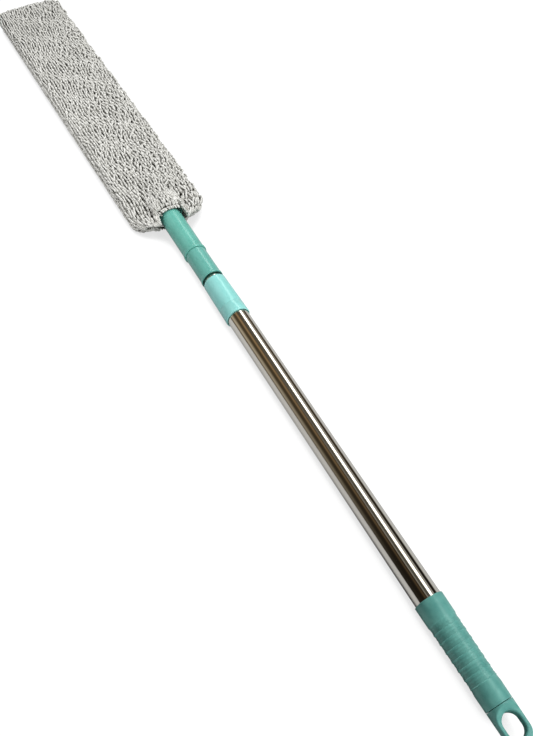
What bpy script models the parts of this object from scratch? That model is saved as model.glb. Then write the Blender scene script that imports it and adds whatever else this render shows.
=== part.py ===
"""Extending flat duster: a loop pile sleeve on a flat paddle, on a two-part telescopic pole.

The pole lies along X, with the handle's end at -X and the head's tip at +X. The paddle is flat
in the XY plane. The duster lies on its sleeve, and Z is zero on the surface under it.
All lengths are in metres. A station is a place along the pole, counted from the hanger cap's end.
"""

import math

import bmesh
import bpy
from mathutils import Matrix

# Clearances and mesh fineness
SEAT_GAP = 0.0003
SLIDE_GAP = 0.0001
CUT_OVERRUN = 0.002
WELD = 0.00001
ROUND_STEPS = 36
ARC_STEPS = 3
HOLE_STEPS = 9
HALF_TURN = math.pi
FULL_TURN = 2 * math.pi
SHARP_ANGLE = math.radians(35)

# Pole tubes
TUBE_DIAMETER = 0.019
TUBE_WALL = 0.0005
TUBE_PLAY = 0.001
VISIBLE_TUBE = 0.2691

# Hanger cap
CAP_LENGTH = 0.0255
CAP_TAPER = 0.0002
CAP_THICKNESS = 0.007
CAP_BAND = 0.0014
CAP_RAMP = 0.0125
CAP_EDGE = 0.0004
HOLE_LENGTH = 0.016
HOLE_WIDTH = 0.0124
HOLE_TO_SEAM = 0.0045
STEM_DIAMETER = 0.006
STEM_HEAD_LENGTH = 0.004
STEM_BARB = 0.0009
STEM_SLOT = 0.0012
STEM_SLOT_LENGTH = 0.0105

# Plug in the grip's lower end
END_PLUG_LENGTH = 0.01
END_PLUG_EDGE = 0.0004

# Grip
GRIP_LENGTH = 0.0718
GRIP_WALL = 0.0009
GRIP_TAPER = 0.00105
GRIP_EDGE = 0.0004
GRIP_SKIRT = 0.0225
GRIP_SPIGOT = 0.0205
GRIP_SPIGOT_WALL = 0.0014
RIB_COUNT = 7
RIB_PITCH = 0.00615
RIB_DEPTH = 0.0003
RIBS_FROM_TOP = 0.0201

# Collar at the joint of the tubes
COLLAR_LENGTH = 0.0447
COLLAR_WALL = 0.00125
COLLAR_TAPER = 0.0007
COLLAR_EDGE = 0.0006
COLLAR_RECESS = 0.0004
COLLAR_MOUTH_PLAY = 0.0006
COLLAR_RECESS_DEPTH = 0.004
COLLAR_OVER_TUBE = 0.031
COLLAR_LINE_FROM_TOP = 0.0325
COLLAR_LINE_WIDTH = 0.0008
COLLAR_LINE_DEPTH = 0.0002
BUSH_LENGTH = 0.02
BUSH_FLANGE = 0.0015

# Adapter on the inner tube
COLLAR_TO_ADAPTER = 0.0038
ADAPTER_VISIBLE = 0.0335
ADAPTER_WALL = 0.0016
ADAPTER_LIP = 0.00045
ADAPTER_LIP_LENGTH = 0.0016
ADAPTER_RECESS = 0.0012
ADAPTER_RECESS_DEPTH = 0.003
ADAPTER_EDGE = 0.0003
ADAPTER_TUBE_STOP = 0.005
SPIGOT_LENGTH = 0.031
SPIGOT_SHOULDER = 0.00225
SPIGOT_WALL = 0.0026
THREAD_CREST = 0.0008
THREAD_PITCH = 0.005
THREAD_TURNS = 4
THREAD_STEPS = 14
THREAD_PLAY = 0.0002

# Twist lock inside the tubes
LOCK_FROM_SPIGOT = 0.004
SPINDLE_DIAMETER = 0.005
SPINDLE_END = 0.001
SPINDLE_EDGE = 0.0003
END_NUT_LENGTH = 0.0045
END_NUT_WIDTH = 0.008
END_NUT_SIDES = 6
WASHER_THICKNESS = 0.001
WASHER_DIAMETER = 0.01
CONE_TRAVEL = 0.002
CONE_STOP_GAP = 0.0005
CONE_FLANGE_LENGTH = 0.003
CONE_FLANGE_DIAMETER = 0.0152
CONE_LENGTH = 0.011
CONE_BASE_DIAMETER = 0.0138
CONE_NOSE_DIAMETER = 0.0092
KEY_LENGTH = 0.007
KEY_PLAY = 0.0002
DOWEL_LENGTH = 0.026
DOWEL_WEB = 0.004
DOWEL_SLOT = 0.0022
DOWEL_SLOT_LENGTH = 0.019
DOWEL_EDGE = 0.0008
PLUG_FLANGE = 0.002
PLUG_IN_TUBE = 0.0145
PLUG_EDGE = 0.0008
SPINDLE_IN_PLUG = 0.0125

# Paddle
NECK_LENGTH = 0.0583
NECK_WALL = 0.0016
NECK_LIP = 0.00055
NECK_LIP_LENGTH = 0.0025
NECK_EDGE = 0.0005
SOCKET_LENGTH = 0.034
SPINE_LENGTH = 0.074
BLADE_FROM_NECK_END = 0.0106
BLADE_FLARE = 0.042
BLADE_LENGTH = 0.3975
BLADE_WIDTH = 0.063
BLADE_THICKNESS = 0.0024
BLADE_CORNER = 0.012

# Sleeve
MOUTH_OVER_NECK = 0.002
NECK_PLAY = 0.00035
POCKET_PLAY = 0.0008
POCKET_SIDE_PLAY = 0.001
POCKET_END_PLAY = 0.0015
TUNNEL_WIDTH = 0.032
LINING = 0.0012
HEM_WIDTH = 0.003
FRONT_PILE = 0.0075
SEAM_WIDTH = 0.0038
SEAM_END_WIDTH = 0.0065
SLEEVE_FLARE = 0.0019
MOUTH_CORNER = 0.0034
TIP_CORNER = 0.009
END_ROUND = 0.007

# Shares along and across the grip and the head
RAMP_POWER_SHARE = 3.3
RIB_SHARES = (0, 0.2, 0.5, 0.8)
END_RIB_SHARE = 0.7
EASE_SHARES = (0.1, 0.22, 0.34, 0.46, 0.58, 0.7, 0.84, 1)
END_SHARES = (0, 0.12, 0.45, 1)
MIDDLE_SHARES = (0.3, 0.65)
ACROSS_SHARES = (0, 0.08, 0.16, 0.24, 0.32, 0.4, 0.5, 0.62, 0.74, 0.85, 0.94, 1)
EDGE_THICKNESS_SHARE = 0.35
FLAT_BACK_SHARE = 0.74
TUNNEL_POWER_SHARE = 1.5

# Radii that follow from the tubes
TUBE_RADIUS = TUBE_DIAMETER / 2
TUBE_BORE = TUBE_RADIUS - TUBE_WALL
INNER_RADIUS = TUBE_BORE - TUBE_PLAY
INNER_BORE = INNER_RADIUS - TUBE_WALL
GRIP_TOP_RADIUS = TUBE_RADIUS + SLIDE_GAP + GRIP_WALL
GRIP_END_RADIUS = GRIP_TOP_RADIUS - GRIP_TAPER
GRIP_SPIGOT_RADIUS = TUBE_BORE - SLIDE_GAP
GRIP_BORE = GRIP_SPIGOT_RADIUS - GRIP_SPIGOT_WALL
COLLAR_END_RADIUS = TUBE_RADIUS + SLIDE_GAP + COLLAR_WALL
COLLAR_TOP_RADIUS = COLLAR_END_RADIUS - COLLAR_TAPER
ADAPTER_RADIUS = INNER_RADIUS + SLIDE_GAP + ADAPTER_WALL
SPIGOT_RADIUS = ADAPTER_RADIUS - SPIGOT_SHOULDER
SOCKET_RADIUS = SPIGOT_RADIUS + THREAD_CREST + THREAD_PLAY
NECK_RADIUS = SOCKET_RADIUS + NECK_WALL
STEM_RADIUS = STEM_DIAMETER / 2
SPINDLE_RADIUS = SPINDLE_DIAMETER / 2
DOWEL_RADIUS = TUBE_BORE - SLIDE_GAP
POCKET_HALF_HEIGHT = BLADE_THICKNESS / 2 + POCKET_PLAY
POCKET_HALF_WIDTH = BLADE_WIDTH / 2 + POCKET_SIDE_PLAY
LOWEST_OF_NECK = NECK_RADIUS + NECK_PLAY + LINING
AXIS_HEIGHT = max(LOWEST_OF_NECK, COLLAR_END_RADIUS, GRIP_TOP_RADIUS)

# Stations along the pole
GRIP_START = CAP_LENGTH + SEAT_GAP
GRIP_TOP = GRIP_START + GRIP_LENGTH
TUBE_START = GRIP_TOP - GRIP_SKIRT
COLLAR_START = GRIP_TOP + VISIBLE_TUBE
COLLAR_TOP = COLLAR_START + COLLAR_LENGTH
TUBE_TOP = COLLAR_START + COLLAR_OVER_TUBE
TUBE_LENGTH = TUBE_TOP - TUBE_START
GRIP_SPIGOT_TOP = TUBE_START - SEAT_GAP + GRIP_SPIGOT
ADAPTER_START = COLLAR_TOP + COLLAR_TO_ADAPTER
NECK_START = ADAPTER_START + ADAPTER_VISIBLE + SEAT_GAP
NECK_END = NECK_START + NECK_LENGTH
BLADE_TIP = NECK_END + BLADE_LENGTH
INNER_TOP = ADAPTER_START + ADAPTER_VISIBLE - ADAPTER_TUBE_STOP
NUT_START = GRIP_SPIGOT_TOP + LOCK_FROM_SPIGOT
WASHER_START = NUT_START + END_NUT_LENGTH + SEAT_GAP
CONE_START = WASHER_START + WASHER_THICKNESS + CONE_TRAVEL + CONE_STOP_GAP
DOWEL_START = CONE_START + CONE_FLANGE_LENGTH + SEAT_GAP
PLUG_START = DOWEL_START + DOWEL_LENGTH + SEAT_GAP
INNER_START = PLUG_START + PLUG_FLANGE + SEAT_GAP
SPINDLE_START = NUT_START - SPINDLE_END
MOUTH = NECK_END - MOUTH_OVER_NECK
POCKET_END = BLADE_TIP + POCKET_END_PLAY
SLEEVE_TIP = POCKET_END + SEAM_END_WIDTH
SLEEVE_LENGTH = SLEEVE_TIP - MOUTH
HEM_START = MOUTH - SEAT_GAP - HEM_WIDTH

# Bodies that move, with the station of each one's joint
BODY_STATIONS = {
    "outer_pole": 0,
    "hanger": GRIP_START,
    "lock": DOWEL_START,
    "cone": CONE_START,
    "inner_pole": INNER_START,
    "head": NECK_START,
    "sleeve": MOUTH,
}

frames = {}


# Scene, collections and materials

def clearScene():
    for obj in list(bpy.data.objects):
        bpy.data.objects.remove(obj, do_unlink=True)


def newCollection(name):
    collection = bpy.data.collections.new(name)
    bpy.context.scene.collection.children.link(collection)
    return collection


def newMaterial(name, colour, roughness, metallic=0.0):
    material = bpy.data.materials.new(name)
    material.use_nodes = True
    shader = material.node_tree.nodes["Principled BSDF"]
    shader.inputs["Base Color"].default_value = (*colour, 1.0)
    shader.inputs["Roughness"].default_value = roughness
    shader.inputs["Metallic"].default_value = metallic
    material.diffuse_color = (*colour, 1.0)
    return material


def newFrame(name, parent, station, height=0):
    frame = bpy.data.objects.new(name, None)
    parts.objects.link(frame)
    frame.parent = parent
    frame.location = (station, 0, height)
    return frame


clearScene()
parts = newCollection("flat_duster")
cutters = newCollection("cutters")
cutters.hide_render = True

tealGloss = newMaterial("teal_gloss_plastic", (0.17, 0.55, 0.48), 0.25)
tealGrip = newMaterial("teal_grip_plastic", (0.13, 0.42, 0.38), 0.4)
turquoise = newMaterial("turquoise_plastic", (0.38, 0.82, 0.76), 0.25)
whiteNylon = newMaterial("white_nylon", (0.85, 0.85, 0.82), 0.45)
blackPlastic = newMaterial("black_plastic", (0.03, 0.03, 0.03), 0.5)
polishedSteel = newMaterial("polished_steel", (0.78, 0.77, 0.75), 0.08, 1.0)
zincSteel = newMaterial("zinc_steel", (0.62, 0.62, 0.6), 0.3, 1.0)
loopPile = newMaterial("loop_pile", (0.78, 0.78, 0.74), 0.95)
hemTape = newMaterial("hem_tape", (0.9, 0.89, 0.86), 0.9)


# Shapes

def settle(obj):
    """Keeps the shape that the modifiers make as the object's own mesh, shaded smooth but for its edges."""
    bpy.context.view_layer.update()
    graph = bpy.context.evaluated_depsgraph_get()
    mesh = bpy.data.meshes.new_from_object(obj.evaluated_get(graph))
    obj.modifiers.clear()
    obj.data = mesh
    mesh.shade_smooth()
    mesh.set_sharp_from_angle(angle=SHARP_ANGLE)


def turned(name, outline, ring=True):
    """Turns an outline of (station, radius) points about X.

    The outline starts at the head end of the outer side. A ring's outline closes on itself, and
    any other one starts and ends on the axis.
    """
    points = [(station, radius, 0) for station, radius in outline]
    edges = [(i, i + 1) for i in range(len(points) - 1)]
    if ring:
        edges.append((len(points) - 1, 0))
    mesh = bpy.data.meshes.new(name)
    mesh.from_pydata(points, edges, [])
    obj = bpy.data.objects.new(name, mesh)
    parts.objects.link(obj)
    screw = obj.modifiers.new("turn", "SCREW")
    screw.axis = "X"
    screw.angle = FULL_TURN
    screw.steps = ROUND_STEPS
    screw.render_steps = ROUND_STEPS
    screw.use_merge_vertices = True
    screw.merge_threshold = WELD
    settle(obj)
    return obj


def meshFromCurve(obj):
    """Gives a curve's shape as a mesh object with welded caps, and removes the curve."""
    bpy.context.view_layer.update()
    graph = bpy.context.evaluated_depsgraph_get()
    mesh = bpy.data.meshes.new_from_object(obj.evaluated_get(graph))
    made = bmesh.new()
    made.from_mesh(mesh)
    bmesh.ops.remove_doubles(made, verts=made.verts, dist=WELD)
    bmesh.ops.recalc_face_normals(made, faces=made.faces)
    made.to_mesh(mesh)
    made.free()
    mesh.shade_smooth()
    mesh.set_sharp_from_angle(angle=SHARP_ANGLE)
    name = obj.name
    matrix = obj.matrix_world.copy()
    bpy.data.objects.remove(obj)
    solid = bpy.data.objects.new(name, mesh)
    parts.objects.link(solid)
    mesh.transform(matrix)
    return solid


def plate(name, outlines, thickness, turn=(0, 0, 0), middle=(0, 0, 0)):
    """A flat piece from closed 2D outlines, the later ones being holes, turned and set about its middle."""
    curve = bpy.data.curves.new(name, "CURVE")
    curve.dimensions = "2D"
    curve.fill_mode = "BOTH"
    curve.extrude = thickness / 2
    for outline in outlines:
        spline = curve.splines.new("POLY")
        spline.points.add(len(outline) - 1)
        for point, (x, y) in zip(spline.points, outline):
            point.co = (x, y, 0, 1)
        spline.use_cyclic_u = True
    obj = bpy.data.objects.new(name, curve)
    parts.objects.link(obj)
    obj.rotation_euler = turn
    obj.location = middle
    return meshFromCurve(obj)


def rod(name, points, radius, fineness):
    """A round bar that follows the points."""
    curve = bpy.data.curves.new(name, "CURVE")
    curve.dimensions = "3D"
    curve.bevel_depth = radius
    curve.bevel_resolution = fineness
    curve.use_fill_caps = True
    spline = curve.splines.new("POLY")
    spline.points.add(len(points) - 1)
    for point, place in zip(spline.points, points):
        point.co = (*place, 1)
    obj = bpy.data.objects.new(name, curve)
    parts.objects.link(obj)
    return meshFromCurve(obj)


def block(name, size, middle):
    bpy.ops.mesh.primitive_cube_add(size=1)
    obj = bpy.context.object
    obj.name = name
    obj.data.transform(Matrix.Translation(middle) @ Matrix.Diagonal((*size, 1)))
    for holder in list(obj.users_collection):
        holder.objects.unlink(obj)
    parts.objects.link(obj)
    return obj


def combine(obj, tool, operation):
    """Cuts the tool from the object or joins it on, and puts the tool away with the cutters."""
    modifier = obj.modifiers.new(operation.lower(), "BOOLEAN")
    modifier.operation = operation
    modifier.object = tool
    parts.objects.unlink(tool)
    cutters.objects.link(tool)
    tool.hide_render = True
    tool.display_type = "WIRE"
    settle(obj)


def arc(middleStation, middleRadius, radius, fromAngle, toAngle):
    """Points of an arc in an outline: 0 degrees points to the head, 90 degrees away from the axis."""
    angles = [fromAngle + (toAngle - fromAngle) * i / ARC_STEPS for i in range(ARC_STEPS + 1)]
    return [
        (
            middleStation + radius * math.cos(math.radians(angle)),
            middleRadius + radius * math.sin(math.radians(angle)),
        )
        for angle in angles
    ]


def obround(length, width, middle):
    """Outline of a slot with round ends, along X."""
    radius = width / 2
    reach = length / 2 - radius
    outline = []
    for side, start in ((1, -90), (-1, 90)):
        for i in range(HOLE_STEPS + 1):
            angle = math.radians(start + 180 * i / HOLE_STEPS)
            outline.append((middle + side * reach + radius * math.cos(angle), radius * math.sin(angle)))
    return outline


def put(obj, body, start, material):
    """Hangs a piece, modelled from its own start, on its body's frame."""
    obj.parent = frames[body]
    obj.location.x = start - BODY_STATIONS[body]
    obj.data.materials.clear()
    obj.data.materials.append(material)


# Handle end

def makeHangerCap():
    bodyRadius = GRIP_END_RADIUS - CAP_TAPER
    stemEnd = CAP_LENGTH + SEAT_GAP + END_PLUG_LENGTH + SEAT_GAP
    headRadius = STEM_RADIUS + STEM_BARB
    outline = [
        (stemEnd + STEM_HEAD_LENGTH, 0),
        (stemEnd + STEM_HEAD_LENGTH, STEM_RADIUS - STEM_BARB),
        (stemEnd, headRadius),
        (stemEnd, STEM_RADIUS),
        (CAP_LENGTH, STEM_RADIUS),
        *arc(CAP_LENGTH - CAP_EDGE, GRIP_END_RADIUS - CAP_EDGE, CAP_EDGE, 0, 90),
    ]
    for i in range(2 * ARC_STEPS + 1):
        angle = HALF_TURN / 2 * i / (2 * ARC_STEPS)
        outline.append((bodyRadius * (1 - math.sin(angle)), bodyRadius * math.cos(angle)))
    outline[-1] = (0, 0)
    cap = turned("hanger_cap", outline, ring=False)
    rampTop = CAP_LENGTH - CAP_BAND
    flat = CAP_THICKNESS / 2
    above = GRIP_END_RADIUS + CUT_OVERRUN
    for side in (1, -1):
        ramp = [(-CUT_OVERRUN, side * flat)]
        for i in range(HOLE_STEPS + 1):
            share = i / HOLE_STEPS
            height = flat + (GRIP_END_RADIUS - flat) * share**RAMP_POWER_SHARE
            ramp.append((rampTop - CAP_RAMP * (1 - share), side * height))
        ramp.append((rampTop, side * above))
        ramp.append((-CUT_OVERRUN, side * above))
        cutter = plate("cap_flat_cutter", [ramp], 2 * above, turn=(HALF_TURN / 2, 0, 0))
        combine(cap, cutter, "DIFFERENCE")
    holeMiddle = CAP_LENGTH - HOLE_TO_SEAM - HOLE_LENGTH / 2
    hole = plate("hanging_hole_cutter", [obround(HOLE_LENGTH, HOLE_WIDTH, holeMiddle)], 2 * above)
    combine(cap, hole, "DIFFERENCE")
    slotMiddle = stemEnd + STEM_HEAD_LENGTH + CUT_OVERRUN - (STEM_SLOT_LENGTH + CUT_OVERRUN) / 2
    slotSize = (STEM_SLOT_LENGTH + CUT_OVERRUN, STEM_SLOT, 2 * (headRadius + CUT_OVERRUN))
    combine(cap, block("stem_slot_cutter", slotSize, (slotMiddle, 0, 0)), "DIFFERENCE")
    put(cap, "hanger", 0, tealGrip)


def makeEndPlug():
    bore = STEM_RADIUS + SLIDE_GAP
    rim = GRIP_BORE - SLIDE_GAP
    outline = [
        (END_PLUG_LENGTH, bore),
        (END_PLUG_LENGTH, rim - END_PLUG_EDGE),
        (END_PLUG_LENGTH - END_PLUG_EDGE, rim),
        (0, rim),
        (0, bore),
    ]
    put(turned("end_plug", outline), "outer_pole", GRIP_START, whiteNylon)


def gripRadius(fromTop):
    return GRIP_TOP_RADIUS - GRIP_TAPER * fromTop / GRIP_LENGTH


def ribPoints():
    """The finger ribs: hollows between sharp crests, with a shorter hollow at each end."""
    crests = [RIBS_FROM_TOP + RIB_PITCH * i for i in range(RIB_COUNT)]
    crests.insert(0, crests[0] - RIB_PITCH * END_RIB_SHARE)
    crests.append(crests[-1] + RIB_PITCH * END_RIB_SHARE)
    points = []
    for crest, following in zip(crests, crests[1:]):
        for share in RIB_SHARES:
            fromTop = crest + (following - crest) * share
            hollow = RIB_DEPTH * math.sin(HALF_TURN * share)
            points.append((GRIP_LENGTH - fromTop, gripRadius(fromTop) - hollow))
    points.append((GRIP_LENGTH - crests[-1], gripRadius(crests[-1])))
    return points


def makeGrip():
    socketFloor = GRIP_LENGTH - GRIP_SKIRT - SEAT_GAP
    spigotTop = socketFloor + GRIP_SPIGOT
    skirtBore = TUBE_RADIUS + SLIDE_GAP
    outline = [
        (GRIP_LENGTH, skirtBore),
        *arc(GRIP_LENGTH - GRIP_EDGE, GRIP_TOP_RADIUS - GRIP_EDGE, GRIP_EDGE, 0, 90),
        *ribPoints(),
        *arc(GRIP_EDGE, GRIP_END_RADIUS - GRIP_EDGE, GRIP_EDGE, 90, 180),
        (0, GRIP_BORE),
        (spigotTop, GRIP_BORE),
        (spigotTop, GRIP_SPIGOT_RADIUS),
        (socketFloor, GRIP_SPIGOT_RADIUS),
        (socketFloor, skirtBore),
    ]
    put(turned("grip", outline), "outer_pole", GRIP_START, tealGrip)


# Pole

def makeTube(name, length, outside, body, start):
    inside = outside - TUBE_WALL
    outline = [(length, inside), (length, outside), (0, outside), (0, inside)]
    put(turned(name, outline), body, start, polishedSteel)


def collarRadiusAt(station):
    return COLLAR_END_RADIUS - COLLAR_TAPER * station / COLLAR_LENGTH


def makeCollar():
    tubeStop = TUBE_TOP - COLLAR_START + 2 * SEAT_GAP + BUSH_FLANGE
    sleeveBore = TUBE_RADIUS + SLIDE_GAP
    recessBore = TUBE_RADIUS + COLLAR_RECESS
    mouthBore = INNER_RADIUS + COLLAR_MOUTH_PLAY
    line = COLLAR_LENGTH - COLLAR_LINE_FROM_TOP
    lineHigh = line + COLLAR_LINE_WIDTH / 2
    lineLow = line - COLLAR_LINE_WIDTH / 2
    outline = [
        (COLLAR_LENGTH, mouthBore),
        *arc(COLLAR_LENGTH - COLLAR_EDGE, COLLAR_TOP_RADIUS - COLLAR_EDGE, COLLAR_EDGE, 0, 90),
        (lineHigh, collarRadiusAt(lineHigh)),
        (line, collarRadiusAt(line) - COLLAR_LINE_DEPTH),
        (lineLow, collarRadiusAt(lineLow)),
        *arc(COLLAR_EDGE, COLLAR_END_RADIUS - COLLAR_EDGE, COLLAR_EDGE, 90, 180),
        (0, recessBore),
        (COLLAR_RECESS_DEPTH, recessBore),
        (COLLAR_RECESS_DEPTH, sleeveBore),
        (tubeStop, sleeveBore),
        (tubeStop, mouthBore),
    ]
    put(turned("joint_collar", outline), "outer_pole", COLLAR_START, turquoise)


def makeGuideBush():
    bore = INNER_RADIUS + SLIDE_GAP
    sleeve = TUBE_BORE - SLIDE_GAP
    length = BUSH_LENGTH + BUSH_FLANGE + SEAT_GAP
    flangeFoot = BUSH_LENGTH + SEAT_GAP
    outline = [
        (length, bore),
        (length, TUBE_RADIUS),
        (flangeFoot, TUBE_RADIUS),
        (flangeFoot, sleeve),
        (0, sleeve),
        (0, bore),
    ]
    put(turned("collar_guide_bush", outline), "outer_pole", TUBE_TOP - BUSH_LENGTH, whiteNylon)


def makeAdapter():
    tubeBore = INNER_RADIUS + SLIDE_GAP
    recessBore = INNER_RADIUS + ADAPTER_RECESS
    tubeStop = ADAPTER_VISIBLE - ADAPTER_TUBE_STOP + SEAT_GAP
    spigotEnd = ADAPTER_VISIBLE + SPIGOT_LENGTH
    spigotBore = SPIGOT_RADIUS - SPIGOT_WALL
    lip = ADAPTER_RADIUS + ADAPTER_LIP
    outline = [
        (spigotEnd, spigotBore),
        (spigotEnd, SPIGOT_RADIUS - ADAPTER_EDGE),
        (spigotEnd - ADAPTER_EDGE, SPIGOT_RADIUS),
        (ADAPTER_VISIBLE, SPIGOT_RADIUS),
        *arc(ADAPTER_VISIBLE - ADAPTER_EDGE, ADAPTER_RADIUS - ADAPTER_EDGE, ADAPTER_EDGE, 0, 90),
        (2 * ADAPTER_LIP_LENGTH, ADAPTER_RADIUS),
        *arc(ADAPTER_LIP_LENGTH - ADAPTER_EDGE, lip - ADAPTER_EDGE, ADAPTER_EDGE, 45, 90),
        *arc(ADAPTER_EDGE, lip - ADAPTER_EDGE, ADAPTER_EDGE, 90, 180),
        (0, recessBore),
        (ADAPTER_RECESS_DEPTH, recessBore),
        (ADAPTER_RECESS_DEPTH, tubeBore),
        (tubeStop, tubeBore),
        (tubeStop, spigotBore),
    ]
    adapter = turned("pole_adapter", outline)
    threadLength = THREAD_PITCH * THREAD_TURNS
    threadStart = ADAPTER_VISIBLE + (SPIGOT_LENGTH - threadLength) / 2
    path = []
    for i in range(THREAD_TURNS * THREAD_STEPS + 1):
        angle = FULL_TURN * i / THREAD_STEPS
        along = threadStart + THREAD_PITCH * i / THREAD_STEPS
        path.append((along, SPIGOT_RADIUS * math.cos(angle), SPIGOT_RADIUS * math.sin(angle)))
    combine(adapter, rod("thread_crest", path, THREAD_CREST, 1), "UNION")
    put(adapter, "inner_pole", ADAPTER_START, tealGloss)


# Twist lock, from the handle's side to the head's

def makeSpindle():
    length = PLUG_START + SPINDLE_IN_PLUG - SPINDLE_START
    outline = [
        (length, 0),
        (length, SPINDLE_RADIUS - SPINDLE_EDGE),
        (length - SPINDLE_EDGE, SPINDLE_RADIUS),
        (SPINDLE_EDGE, SPINDLE_RADIUS),
        (0, SPINDLE_RADIUS - SPINDLE_EDGE),
        (0, 0),
    ]
    put(turned("lock_spindle", outline, ring=False), "inner_pole", SPINDLE_START, zincSteel)


def makeEndNut():
    bpy.ops.mesh.primitive_cylinder_add(
        vertices=END_NUT_SIDES,
        radius=END_NUT_WIDTH / 2 / math.cos(HALF_TURN / END_NUT_SIDES),
        depth=END_NUT_LENGTH,
        rotation=(0, HALF_TURN / 2, 0),
    )
    nut = bpy.context.object
    nut.name = "lock_end_nut"
    bpy.ops.object.transform_apply(rotation=True)
    nut.data.transform(Matrix.Translation((END_NUT_LENGTH / 2, 0, 0)))
    for holder in list(nut.users_collection):
        holder.objects.unlink(nut)
    parts.objects.link(nut)
    bore = [
        (END_NUT_LENGTH + CUT_OVERRUN, 0),
        (END_NUT_LENGTH + CUT_OVERRUN, SPINDLE_RADIUS + SLIDE_GAP),
        (-CUT_OVERRUN, SPINDLE_RADIUS + SLIDE_GAP),
        (-CUT_OVERRUN, 0),
    ]
    combine(nut, turned("nut_bore_cutter", bore, ring=False), "DIFFERENCE")
    put(nut, "inner_pole", NUT_START, zincSteel)


def makeWasher():
    inside = SPINDLE_RADIUS + SLIDE_GAP
    outside = WASHER_DIAMETER / 2
    outline = [(WASHER_THICKNESS, inside), (WASHER_THICKNESS, outside), (0, outside), (0, inside)]
    put(turned("lock_end_washer", outline), "inner_pole", WASHER_START, zincSteel)


def makeConeNut():
    length = CONE_FLANGE_LENGTH + CONE_LENGTH
    flange = CONE_FLANGE_DIAMETER / 2
    outline = [
        (length, 0),
        (length, CONE_NOSE_DIAMETER / 2),
        (CONE_FLANGE_LENGTH, CONE_BASE_DIAMETER / 2),
        (CONE_FLANGE_LENGTH, flange),
        (0, flange),
        (0, 0),
    ]
    cone = turned("lock_cone_nut", outline, ring=False)
    keyHeight = DOWEL_SLOT - 2 * KEY_PLAY
    keyStart = CONE_FLANGE_LENGTH - SEAT_GAP
    keySize = (KEY_LENGTH, 2 * (DOWEL_RADIUS - SEAT_GAP), keyHeight)
    combine(cone, block("cone_key", keySize, (keyStart + KEY_LENGTH / 2, 0, 0)), "UNION")
    bore = [
        (length + CUT_OVERRUN, 0),
        (length + CUT_OVERRUN, SPINDLE_RADIUS + SLIDE_GAP),
        (-CUT_OVERRUN, SPINDLE_RADIUS + SLIDE_GAP),
        (-CUT_OVERRUN, 0),
    ]
    combine(cone, turned("cone_bore_cutter", bore, ring=False), "DIFFERENCE")
    put(cone, "cone", CONE_START, blackPlastic)


def makeDowel():
    """The slotted dowel's lower bore is the cone's own taper, a sliding gap wider."""
    webFoot = DOWEL_LENGTH - DOWEL_WEB
    boreBase = CONE_BASE_DIAMETER / 2 + 2 * SLIDE_GAP
    boreNose = CONE_NOSE_DIAMETER / 2 + 2 * SLIDE_GAP
    spindleBore = SPINDLE_RADIUS + SLIDE_GAP
    outline = [
        (DOWEL_LENGTH, spindleBore),
        (DOWEL_LENGTH, DOWEL_RADIUS - DOWEL_EDGE),
        (DOWEL_LENGTH - DOWEL_EDGE, DOWEL_RADIUS),
        (0, DOWEL_RADIUS),
        (0, boreBase),
        (CONE_LENGTH, boreNose),
        (webFoot, boreNose),
        (webFoot, spindleBore),
    ]
    dowel = turned("lock_expander", outline)
    across = 2 * (DOWEL_RADIUS + CUT_OVERRUN)
    length = DOWEL_SLOT_LENGTH + CUT_OVERRUN
    middle = (DOWEL_SLOT_LENGTH - CUT_OVERRUN) / 2
    for size in ((length, across, DOWEL_SLOT), (length, DOWEL_SLOT, across)):
        combine(dowel, block("dowel_slot_cutter", size, (middle, 0, 0)), "DIFFERENCE")
    put(dowel, "lock", DOWEL_START, blackPlastic)


def makePlug():
    length = PLUG_FLANGE + SEAT_GAP + PLUG_IN_TUBE
    bore = SPINDLE_RADIUS + SLIDE_GAP
    inTube = INNER_BORE - SLIDE_GAP
    outline = [
        (length, 0),
        (length, inTube - PLUG_EDGE),
        (length - PLUG_EDGE, inTube),
        (PLUG_FLANGE, inTube),
        (PLUG_FLANGE, INNER_RADIUS),
        (0, INNER_RADIUS),
        (0, bore),
        (SPINDLE_IN_PLUG + SEAT_GAP, bore),
        (SPINDLE_IN_PLUG + SEAT_GAP, 0),
    ]
    put(turned("lock_plug", outline, ring=False), "inner_pole", PLUG_START, blackPlastic)


# Head

def spineRadius(station):
    """The paddle's round neck fades into the blade along a spine."""
    share = min(max((station - NECK_END) / SPINE_LENGTH, 0), 1)
    return NECK_RADIUS * (1 + math.cos(HALF_TURN * share)) / 2


def bladeHalfWidth(share):
    """Half the blade's width along its flare, from the neck's own radius to the full width."""
    narrow = NECK_RADIUS - NECK_WALL
    return narrow + (BLADE_WIDTH / 2 - narrow) * (1 - math.cos(HALF_TURN * share)) / 2


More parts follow.
